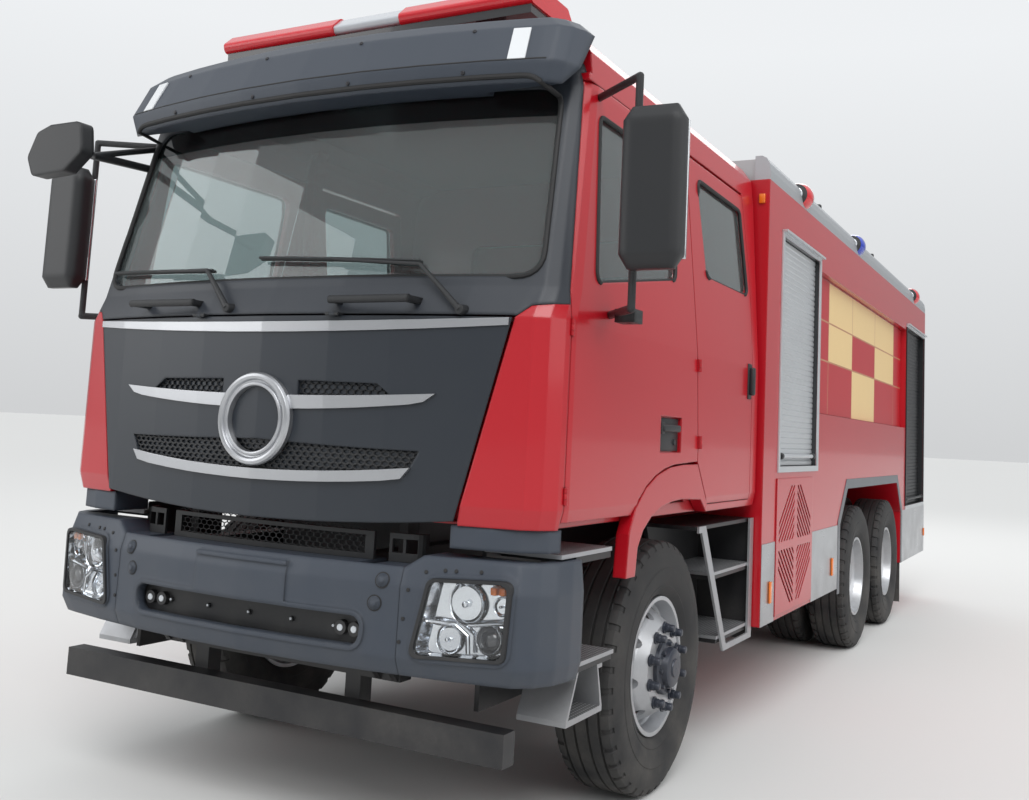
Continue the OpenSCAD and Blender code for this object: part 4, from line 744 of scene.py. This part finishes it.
# Headlamps: black frame, bright housing, reflector bowls, projector, divider and clear cover
headlamp = {
    "corners": [(0.765, 0.752), (1.092, 0.765), (1.105, 1.02), (0.822, 1.008)],
    "radius": 0.03,
    "bowls": [(0.925, 0.934, 0.064), (1.05, 0.938, 0.03), (0.868, 0.815, 0.046)],
    "projector": (1.022, 0.828, 0.042),
    "indicator": [(1.036, 0.988), (1.066, 0.989)],
    "divider": [[(0.80, 0.868), (0.905, 0.868), (0.95, 0.835), (0.955, 0.775)],
                [(0.95, 0.872), (1.09, 0.888)]],
    "bumperY": -1.425, "cornerX": 1.065, "cornerSize": (0.17, 0.23),
}


def bumperFace(x):
    # The bumper is bowed, and turns back round its corner past cornerX
    x, edge = abs(x), headlamp["cornerX"]
    width, depth = headlamp["cornerSize"]
    corner = 0.0 if x < edge else depth * (1 - math.sqrt(max(0.0, 1 - ((x - edge) / width) ** 2)))
    return headlamp["bumperY"] + bow(min(x, edge)) + corner


def lampPoint(side, x, z, depth=0.0):
    return at(side * x, bumperFace(x) + depth, z)


def makeHeadlamp(name, side, s):
    outline = roundedLine(s["corners"], s["radius"])
    middle = sum((Vector(c) for c in s["corners"]), Vector((0, 0))) / 4

    def ringAt(scale, depth):
        return [lampPoint(side, *(middle + (p - middle) * scale), depth) for p in outline]

    def loftRings(rings, fill):
        bm = bmesh.new()
        edges = []
        for ring in rings:
            verts = [bm.verts.new(p) for p in ring]
            loop = [bm.edges.new((verts[i - 1], verts[i])) for i in range(len(verts))]
            if edges:
                bmesh.ops.bridge_loops(bm, edges=edges + loop)
            edges = loop
        if fill:
            bmesh.ops.contextual_create(bm, geom=edges)
        return bm

    rim = loftRings([ringAt(0.97, 0.012), ringAt(0.985, -0.012), ringAt(1.07, -0.012), ringAt(1.09, 0.004)],
                    False)
    addPiece(f"lampFrame{name}", rim, "chassis", "blackPlastic")
    shell = loftRings([ringAt(0.985, -0.004), ringAt(0.97, 0.05), ringAt(0.9, 0.085)], True)
    addPiece(f"lampShell{name}", shell, "chassis", "reflector")
    cover = loftRings([ringAt(0.99, 0.008), ringAt(0.98, -0.004), ringAt(0.94, -0.0075)], True)
    addPiece(f"lampCover{name}", cover, "chassis", "lampGlass", replaces=["headlamps"])
    bm = bmesh.new()
    for x, z, r in s["bowls"]:
        place = lampPoint(side, x, z, 0.07)
        profile = [(r * u, -0.05 + 0.052 * u * u) for u in (0.05, 0.3, 0.5, 0.7, 0.85, 1.0)]
        profile += [(r + 0.004, 0.004), (r + 0.005, -0.004)]
        addSpin(bm, profile, place, (0, -1, 0), 32)
        reach = Vector((0, 0.02, 0))
        addRod(bm, place + reach, place - reach, r * 0.16, segments=12, bevel=0.002)
    x, z, r = s["projector"]
    place = lampPoint(side, x, z, 0.045)
    ring = [(r * 1.25, -0.03), (r * 1.25, 0.0), (r * 1.12, 0.008), (r, 0.0), (r * 0.95, -0.012)]
    addSpin(bm, ring, place, (0, -1, 0), 32)
    addPiece(f"lampBowls{name}", bm, "chassis", "reflector")
    bm = bmesh.new()
    dome = [(r * math.sin(a), -0.012 + 0.024 * math.cos(a)) for a in (0.02, 0.35, 0.7, 1.05, 1.35, 1.57)]
    addSpin(bm, dome, place, (0, -1, 0), 32)
    addPiece(f"lampLens{name}", bm, "chassis", "darkLens")
    bm = bmesh.new()
    for x, z in s["indicator"]:
        place = lampPoint(side, x, z, 0.045)
        addBlock(bm, place - Vector((0.011, 0.02, 0.012)), place + Vector((0.011, 0.02, 0.012)), 0.004)
    addPiece(f"lampIndicator{name}", bm, "chassis", "amberLens")
    lines = [[lampPoint(side, px, pz, 0.035) for px, pz in denseLine(line, 0.02)] for line in s["divider"]]
    addTubes(f"lampDivider{name}", lines, 0.009, "chassis", "reflector")


for sideName, sideSign in sides:
    makeHeadlamp(sideName.capitalize(), sideSign, headlamp)
print("headlamps ready")

# Tyres with circumferential grooves, shoulder blocks and sidewall rings
tyre = {
    "radius": 0.5425, "width": 0.30, "bead": 0.2847,
    "grooves": (-0.082, -0.03, 0.03, 0.082), "grooveHalf": 0.006, "grooveDepth": 0.011,
    "steps": 120,
    "blockFrom": 0.09, "blockReach": 0.028, "blockTurn": 3, "blockEdge": 0.003, "blockDepth": 0.010,
}


def tyreProfile(s):
    w, r, b = s["width"] / 2, s["radius"], s["bead"]
    side = [(b, w - 0.042), (b + 0.016, w - 0.040), (b + 0.034, w - 0.022), (b + 0.06, w - 0.01),
            (b + 0.064, w - 0.012), (b + 0.09, w - 0.002), (r - 0.12, w), (r - 0.117, w - 0.003),
            (r - 0.1, w - 0.002), (r - 0.085, w - 0.002), (r - 0.045, w - 0.008), (r - 0.03, w - 0.016),
            (r - 0.008, w - 0.027), (r - 0.001, w - 0.044)]
    tread = []
    for g in reversed(s["grooves"]):
        if g > 0:
            h, d = s["grooveHalf"], s["grooveDepth"]
            tread += [(r, g + h), (r - d, g + h * 0.6), (r - d, g - h * 0.6), (r, g - h)]
    right = [(radius, -x) for radius, x in reversed(side + tread)]
    return side + tread + right


def makeTyre(name, body, replaced, centres, s):
    bm = bmesh.new()
    for x, y in centres:
        part = bmesh.new()
        addSpin(part, tyreProfile(s), at(x, y, axleZ), (1, 0, 0), s["steps"])
        centre = at(x, y, axleZ)
        blocks = []
        for face in part.faces:
            middle = face.calc_center_median() - centre
            reach = math.hypot(middle.y, middle.z)
            turn = int(math.degrees(math.atan2(middle.z, middle.y)) // s["blockTurn"]) % 3
            if abs(middle.x) > s["blockFrom"] and reach > s["radius"] - s["blockReach"] and turn == 0:
                blocks.append(face)
        bmesh.ops.inset_region(part, faces=blocks, thickness=s["blockEdge"], use_even_offset=True)
        for v in vertsOf(blocks):
            out = Vector((0, v.co.y - centre.y, v.co.z - centre.z)).normalized()
            v.co -= out * s["blockDepth"]
        half = bpy.data.meshes.new("half")
        part.to_mesh(half)
        part.free()
        bm.from_mesh(half)
        bpy.data.meshes.remove(half)
    addPiece(name, bm, body, "tyreRubber", replaces=[replaced])


# Wheel nuts and hub faces
wheelNuts = {"ring": 0.1675, "count": 10, "radius": 0.0175, "hubStuds": 8}
axlePlaces = {"second": 4.11, "third": 5.46}
hubs = {
    "front": {"nutOut": 0.05, "hubOut": 0.055, "hubR": 0.118},
    "rear": {"nutOut": 0.045, "hubOut": 0.15, "hubR": 0.112},
}


def makeHubs(side, name):
    # The nuts and the hub stand on the wheel disc
    rear = [("rear", y, f"{axle}_wheels_{name}") for axle, y in axlePlaces.items()]
    for key, y, body in [("front", 0.0, f"front_wheel_{name}"), *rear]:
        h = hubs[key]
        s = wheelNuts
        disc = surfaceOf(("rim_front_" if key == "front" else "rims_" + body.split("_")[0] + "_") + name)
        face = fromSide(disc, side, y + s["ring"] * math.cos(0.3), axleZ + s["ring"] * math.sin(0.3)).x
        bm = bmesh.new()
        for i in range(s["count"]):
            angle = math.tau * (i + 0.5) / s["count"]
            start = at(face, y + s["ring"] * math.cos(angle), axleZ + s["ring"] * math.sin(angle))
            out = Vector((side, 0, 0))
            addRod(bm, start, start + out * 0.007, s["radius"] * 1.5, segments=16)
            addRod(bm, start, start + out * h["nutOut"] * 0.5, s["radius"] * 1.12, segments=6, bevel=0.002)
            addRod(bm, start, start + out * h["nutOut"], s["radius"] * 0.95, segments=14, bevel=0.006)
        middle = at(face, y, axleZ)
        r, d = h["hubR"], h["hubOut"]
        profile = [(r, -0.006), (r, d * 0.3), (r * 0.95, d * 0.42), (r * 0.74, d * 0.48), (r * 0.7, d * 0.9),
                   (r * 0.64, d), (r * 0.34, d), (r * 0.32, d * 1.12), (0.002, d * 1.14)]
        addSpin(bm, profile, middle, (side, 0, 0), 40)
        for i in range(s["hubStuds"]):
            angle = math.tau * i / s["hubStuds"]
            p = middle + Vector((side * d * 0.4, r * 0.85 * math.cos(angle), r * 0.85 * math.sin(angle)))
            addRod(bm, p, p + Vector((side * 0.016, 0, 0)), 0.009, segments=6, bevel=0.001)
        addPiece(f"hub{key.capitalize()}{name.capitalize()}{round(y)}", bm, body, "hubPaint")


for sideName, sideSign in sides:
    makeTyre(f"tyreFront{sideName.capitalize()}", f"front_wheel_{sideName}", f"tyre_front_{sideName}",
             [(sideSign * 1.03, 0.0)], tyre)
    for axle, y in axlePlaces.items():
        makeTyre(f"tyres{axle.capitalize()}{sideName.capitalize()}", f"{axle}_wheels_{sideName}",
                 f"tyres_{axle}_{sideName}", [(sideSign * 1.095, y), (sideSign * 0.745, y)], tyre)
    makeHubs(sideSign, sideName)
print("wheels ready")

# Door window gaskets and handles
doors = {
    "windows": {
        "front": [(-0.935, 2.11), (-0.075, 2.25), (-0.025, 2.775), (-0.88, 2.78)],
        "rear": [(0.372, 2.335), (1.055, 2.335), (0.955, 2.79), (0.262, 2.8)],
    },
    "radius": 0.045,
    "gasket": 0.01,
    "frontHandle": {"skin": 1.2, "y": (-0.225, 0.019), "z": (1.486, 1.63), "grip": (1.57, 1.602),
                    "post": (1.56, 1.612), "lock": (-0.03, 1.525), "lockRadius": 0.014},
    "rearHandle": {"skin": 1.2195, "y": (1.034, 1.093), "z": (1.773, 1.964)},
}


def makeDoorTrim(name, side, s):
    for row, corners in s["windows"].items():
        skin = surfaceOf(f"door_{row}_{name}", f"glass_{row}_{name}")
        outline = roundedLine(corners, s["radius"])
        line = [fromSide(skin, side, p.x, p.y) for p in denseLine(outline + outline[:1])[:-1]]
        body = f"{row}_door_{name}"
        addTubes(f"windowGasket{row.capitalize()}{name.capitalize()}", [line], s["gasket"], body, "rubber",
                 closed=True)
    h = s["frontHandle"]
    skin, (front, rear), (low, high) = h["skin"], h["y"], h["z"]

    def out(distance):
        return side * skin + side * distance

    bm = bmesh.new()
    addBlock(bm, at(out(-0.001), front, low), at(out(0.006), rear, high), 0.002)
    (gripLow, gripHigh), (postLow, postHigh) = h["grip"], h["post"]
    addBlock(bm, at(out(0.004), front + 0.02, gripLow), at(out(0.03), rear - 0.02, gripHigh), 0.009, 3)
    addBlock(bm, at(out(0), front + 0.01, postLow), at(out(0.02), front + 0.05, postHigh), 0.006, 3)
    addRod(bm, at(out(0), *h["lock"]), at(out(0.012), *h["lock"]), h["lockRadius"], bevel=0.002)
    addPiece(f"handleFront{name.capitalize()}", bm, f"front_door_{name}", "blackPlastic")
    h = s["rearHandle"]
    skin, (front, rear), (low, high) = h["skin"], h["y"], h["z"]
    bm = bmesh.new()
    addBlock(bm, at(out(-0.004), front, low), at(out(0.008), rear, high), 0.004)
    addBlock(bm, at(out(0.006), front + 0.01, low + 0.02), at(out(0.034), rear - 0.01, high - 0.02), 0.01, 3)
    addPiece(f"handleRear{name.capitalize()}", bm, f"rear_door_{name}", "blackPlastic")


for sideName, sideSign in sides:
    makeDoorTrim(sideName, sideSign, doors)
print("door trim ready")

# Beacons on the body rails, work lamps, reflectors and tail lamps stand for the CAD lamps.
# A block is (low x, high x, low y, high y, low z, high z, bevel) on the left side
bodyLamps = {
    "beacons": [(2.12, "redLens"), (3.88, "blueLens"), (6.84, "redLens")],
    "axis": (1.205, 3.124),
    "scale": 1.2,
    "bands": [(-0.112, -0.102, "clearLens"), (-0.102, -0.076, "blackPlastic"), (-0.076, 0.03, None),
              (0.03, 0.112, "clearLens")],
    "profile": [(-0.112, 0.002), (-0.11, 0.024), (-0.102, 0.038), (-0.09, 0.05), (-0.076, 0.059),
                (-0.05, 0.068), (-0.02, 0.073), (0.0, 0.074), (0.03, 0.073), (0.06, 0.069), (0.09, 0.056),
                (0.106, 0.036), (0.112, 0.002)],
    "reflectors": [(1.2535, 1.265, y - 0.022, y + 0.022, 0.65, 0.77, 0.004) for y in (1.452, 3.05)]
    + [(1.2535, 1.265, 7.535, 7.583, 0.64, 0.72, 0.004), (1.19, 1.225, 1.262, 1.2765, 2.9, 2.955, 0.004)],
    "tails": [(0.985, 1.215, 7.5955, 7.641, 0.62, 0.73, 0.008),
              (1.08, 1.215, 7.5955, 7.635, 2.86, 2.95, 0.008)],
    "works": [(1.164, 1.2, y - 0.022, y + 0.022, 3.183, 3.216, 0.006) for y in (2.76, 4.76)],
}


def makeBeacons(s):
    x, z = s["axis"]
    parts = {}
    for y, lens in s["beacons"]:
        for low, high, finish in s["bands"]:
            bm = parts.setdefault(finish or lens, bmesh.new())
            for side in (1, -1):
                profile = [(r * s["scale"], h) for h, r in s["profile"] if low - 1e-4 <= h <= high + 1e-4]
                addSpin(bm, profile, at(side * x, y, z), (0, 1, 0), 32)
    for count, (finish, bm) in enumerate(parts.items()):
        addPiece(f"beacon{finish[0].upper()}{finish[1:]}", bm, "chassis", finish,
                 replaces=["lamps"] if count == 0 else ())


def makeBodyLamps(s):
    for name, blocks, finish, slot in (("sideReflectors", s["reflectors"], "amberLens", "lens"),
                                       ("tailLamps", s["tails"], "redLens", "lens"),
                                       ("workLamps", s["works"], "blackPlastic", "dark_plastic")):
        bm = bmesh.new()
        for side in (1, -1):
            for x0, x1, y0, y1, z0, z1, bevel in blocks:
                addBlock(bm, at(side * x0, y0, z0), at(side * x1, y1, z1), bevel)
        addPiece(name, bm, "chassis", finish)


makeBeacons(bodyLamps)
makeBodyLamps(bodyLamps)
print("body lamps ready")

# Mirror glass
mirrors = {"x": (1.408, 1.622), "y": (-1.1025, -1.0865), "z": (2.16, 2.66)}


def makeMirrorGlass(s):
    for name, side in sides:
        bm = bmesh.new()
        low, high = ((side * x, y, z) for x, y, z in zip(s["x"], s["y"], s["z"]))
        addBlock(bm, at(*low), at(*high), 0.006, 3)
        addPiece(f"mirrorGlass{name.capitalize()}", bm, f"front_door_{name}", "mirrorGlass")


makeMirrorGlass(mirrors)
print("mirrors ready")

# Seats: crowned cushions with sewn channels stand for the CAD seats
seatRows = {
    "front": {"x": (0.76, -0.76), "y": -0.56, "width": 0.5, "channels": 2},
    "bench": {"x": (0.0,), "y": 0.62, "width": 2.06, "channels": 6},
}
cushion = {"z": (1.6, 1.74), "length": 0.48, "crown": 0.25}
seatBack = {"z": (1.68, 1.78), "y": (0.42, 1.08), "pivot": (0.5, 1.7), "turn": 80}


def makeCushion(name, low, high, crown, channels, turn=None, pivot=None):
    low, high = Vector(low), Vector(high)
    size = high - low
    bm = bmesh.new()
    bmesh.ops.create_cube(bm, size=1)
    bmesh.ops.subdivide_edges(bm, edges=bm.edges[:], cuts=9, use_grid_fill=True)
    for v in bm.verts:
        u, w = v.co.x * 2, v.co.y * 2
        edge = (1 - u ** 4) * (1 - w ** 4)
        if v.co.z > 0.49:
            seam = 0.5 + 0.5 * math.cos(channels * math.pi * (v.co.x + 0.5) * 2)
            v.co.z += crown * edge - 0.05 * edge * (1 - min(1, seam * 6))
        v.co.x *= 1 - 0.03 * (1 - abs(v.co.z) * 2)
        v.co.y *= 1 - 0.03 * (1 - abs(v.co.z) * 2)
    bmesh.ops.smooth_vert(bm, verts=bm.verts[:], factor=0.4, use_axis_x=True, use_axis_y=True,
                          use_axis_z=True)
    bmesh.ops.scale(bm, vec=size, verts=bm.verts[:])
    bmesh.ops.translate(bm, vec=(low + high) / 2, verts=bm.verts[:])
    if turn:
        bmesh.ops.rotate(bm, cent=pivot, matrix=Matrix.Rotation(turn, 3, "X"), verts=bm.verts[:])
    obj = addPiece(name, bm, "cab", "seatCloth",
                   replaces=["seats"] if name == "cushionFront0" else ())
    smoother = obj.modifiers.new("smoother", "SUBSURF")
    smoother.levels = smoother.render_levels = 1


def makeSeats(rows):
    count = 0
    for row, s in rows.items():
        for x in s["x"]:
            y, left, right = s["y"], x - s["width"] / 2, x + s["width"] / 2
            tag = row.capitalize()
            base, top = cushion["z"]
            makeCushion(f"cushion{tag}{count}", at(left, y, base), at(right, y + cushion["length"], top),
                        cushion["crown"], s["channels"])
            (base, top), (near, far) = seatBack["z"], seatBack["y"]
            pivot = at(x, y + seatBack["pivot"][0], seatBack["pivot"][1])
            makeCushion(f"back{tag}{count}", at(left, y + near, base), at(right, y + far, top),
                        cushion["crown"], s["channels"], math.radians(seatBack["turn"]), pivot)
            count += 1


makeSeats(seatRows)
print("seats ready")

# Monitor nozzle and shutter bar ends
fittings = {
    "nozzle": [(0.048, 0.0), (0.055, 0.01), (0.055, 0.05), (0.05, 0.06), (0.062, 0.16), (0.062, 0.19),
               (0.05, 0.19), (0.04, 0.1), (0.002, 0.1)],
    "nozzleBack": 0.14, "barrelRadius": 0.055,
    "bars": [{"y": (1.6, 2.53), "z": 1.47}, {"y": (6.33, 7.49), "z": 1.06}],
    "barX": 1.242, "barInset": 0.07, "endHalf": 0.02, "endRadius": 0.02,
}


def makeFittings(s):
    low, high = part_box("monitor_barrel")
    z = high[2] - s["barrelRadius"]
    bm = bmesh.new()
    addSpin(bm, s["nozzle"], Vector((0, low[1] + s["nozzleBack"], z)), (0, -1, 0), 32)
    addPiece("monitorNozzle", bm, "monitor_tube", "nutMetal")
    bm = bmesh.new()
    for side in (1, -1):
        x = side * s["barX"]
        for bar in s["bars"]:
            for y in (bar["y"][0] + s["barInset"], bar["y"][1] - s["barInset"]):
                start, end = at(x, y - s["endHalf"], bar["z"]), at(x, y + s["endHalf"], bar["z"])
                addRod(bm, start, end, s["endRadius"], bevel=0.004)
    addPiece("shutterBarEnds", bm, "chassis", "blackPlastic")


makeFittings(fittings)
print("fittings ready")

# Floor, sky and lamps
studio = {
    "floorColour": (0.66, 0.66, 0.65),
    "floorHalf": 250,
    "horizon": (0.63, 0.64, 0.65),
    "zenith": (0.86, 0.88, 0.9),
    "skyLight": (0.35, 0.95),
    "sun": {"from": (5.0, -9.0, 11.0), "strength": 1.7, "angle": 40},
    "lamps": [
        # name, place, aim, size, watts
        ("fillLamp", (-9.0, -10.0, 5.0), (0, -3, 1.2), 7.0, 260),
        ("sideLamp", (11.0, -2.0, 6.0), (0, 0, 1.5), 8.0, 260),
        ("backLamp", (-3.0, 13.0, 11.0), (0, 3, 1.5), 8.0, 380),
    ],
}


def makeStudio(s):
    bm = bmesh.new()
    bmesh.ops.create_grid(bm, x_segments=1, y_segments=1, size=s["floorHalf"])
    mesh = bpy.data.meshes.new("floor")
    bm.to_mesh(mesh)
    bm.free()
    floor = bpy.data.objects.new("floor", mesh)
    bpy.context.scene.collection.objects.link(floor)
    material = bpy.data.materials.new("paleFloor")
    material.use_nodes = True
    shader = material.node_tree.nodes["Principled BSDF"]
    shader.inputs["Base Color"].default_value = (*s["floorColour"], 1)
    shader.inputs["Roughness"].default_value = 0.9
    shader.inputs["Specular IOR Level"].default_value = 0.1
    mesh.materials.append(material)
    world = bpy.data.worlds.new("softSky")
    bpy.context.scene.world = world
    world.use_nodes = True
    tree = world.node_tree
    way = addNode(tree, "ShaderNodeTexCoord").outputs["Generated"]
    height = addNode(tree, "ShaderNodeSeparateXYZ", {"Vector": way}).outputs["Z"]
    fill = tree.nodes["Background"]
    feed(tree, fill.inputs["Color"], (*s["zenith"], 1))
    feed(tree, fill.inputs["Strength"], mapRange(tree, height, 0.0, 0.7, *s["skyLight"]))
    blend = mapRange(tree, height, 0.0, 0.35)
    seen = addNode(tree, "ShaderNodeBackground",
                   {"Color": mixColour(tree, blend, (*s["horizon"], 1), (*s["zenith"], 1)), "Strength": 1.0})
    path = addNode(tree, "ShaderNodeLightPath")
    ray = doMath(tree, "ADD", path.outputs["Is Camera Ray"], path.outputs["Is Transmission Ray"], clamp=True)
    mix = addNode(tree, "ShaderNodeMixShader", {0: ray, 1: fill.outputs[0], 2: seen.outputs[0]})
    tree.links.new(mix.outputs[0], tree.nodes["World Output"].inputs["Surface"])
    sun = bpy.data.lights.new("sunLamp", "SUN")
    sun.energy, sun.angle = s["sun"]["strength"], math.radians(s["sun"]["angle"])
    lights = [("sunLamp", s["sun"]["from"], (0, 0, 0), sun)]
    for name, place, aim, size, watts in s["lamps"]:
        data = bpy.data.lights.new(name, "AREA")
        data.size = size
        data.energy = watts
        lights.append((name, place, aim, data))
    for name, place, aim, data in lights:
        lamp = bpy.data.objects.new(name, data)
        bpy.context.scene.collection.objects.link(lamp)
        lamp.location = place
        lamp.rotation_euler = (Vector(aim) - Vector(place)).to_track_quat("-Z", "Y").to_euler()


makeStudio(studio)
bpy.context.scene.view_settings.view_transform = "Standard"
print("studio ready")
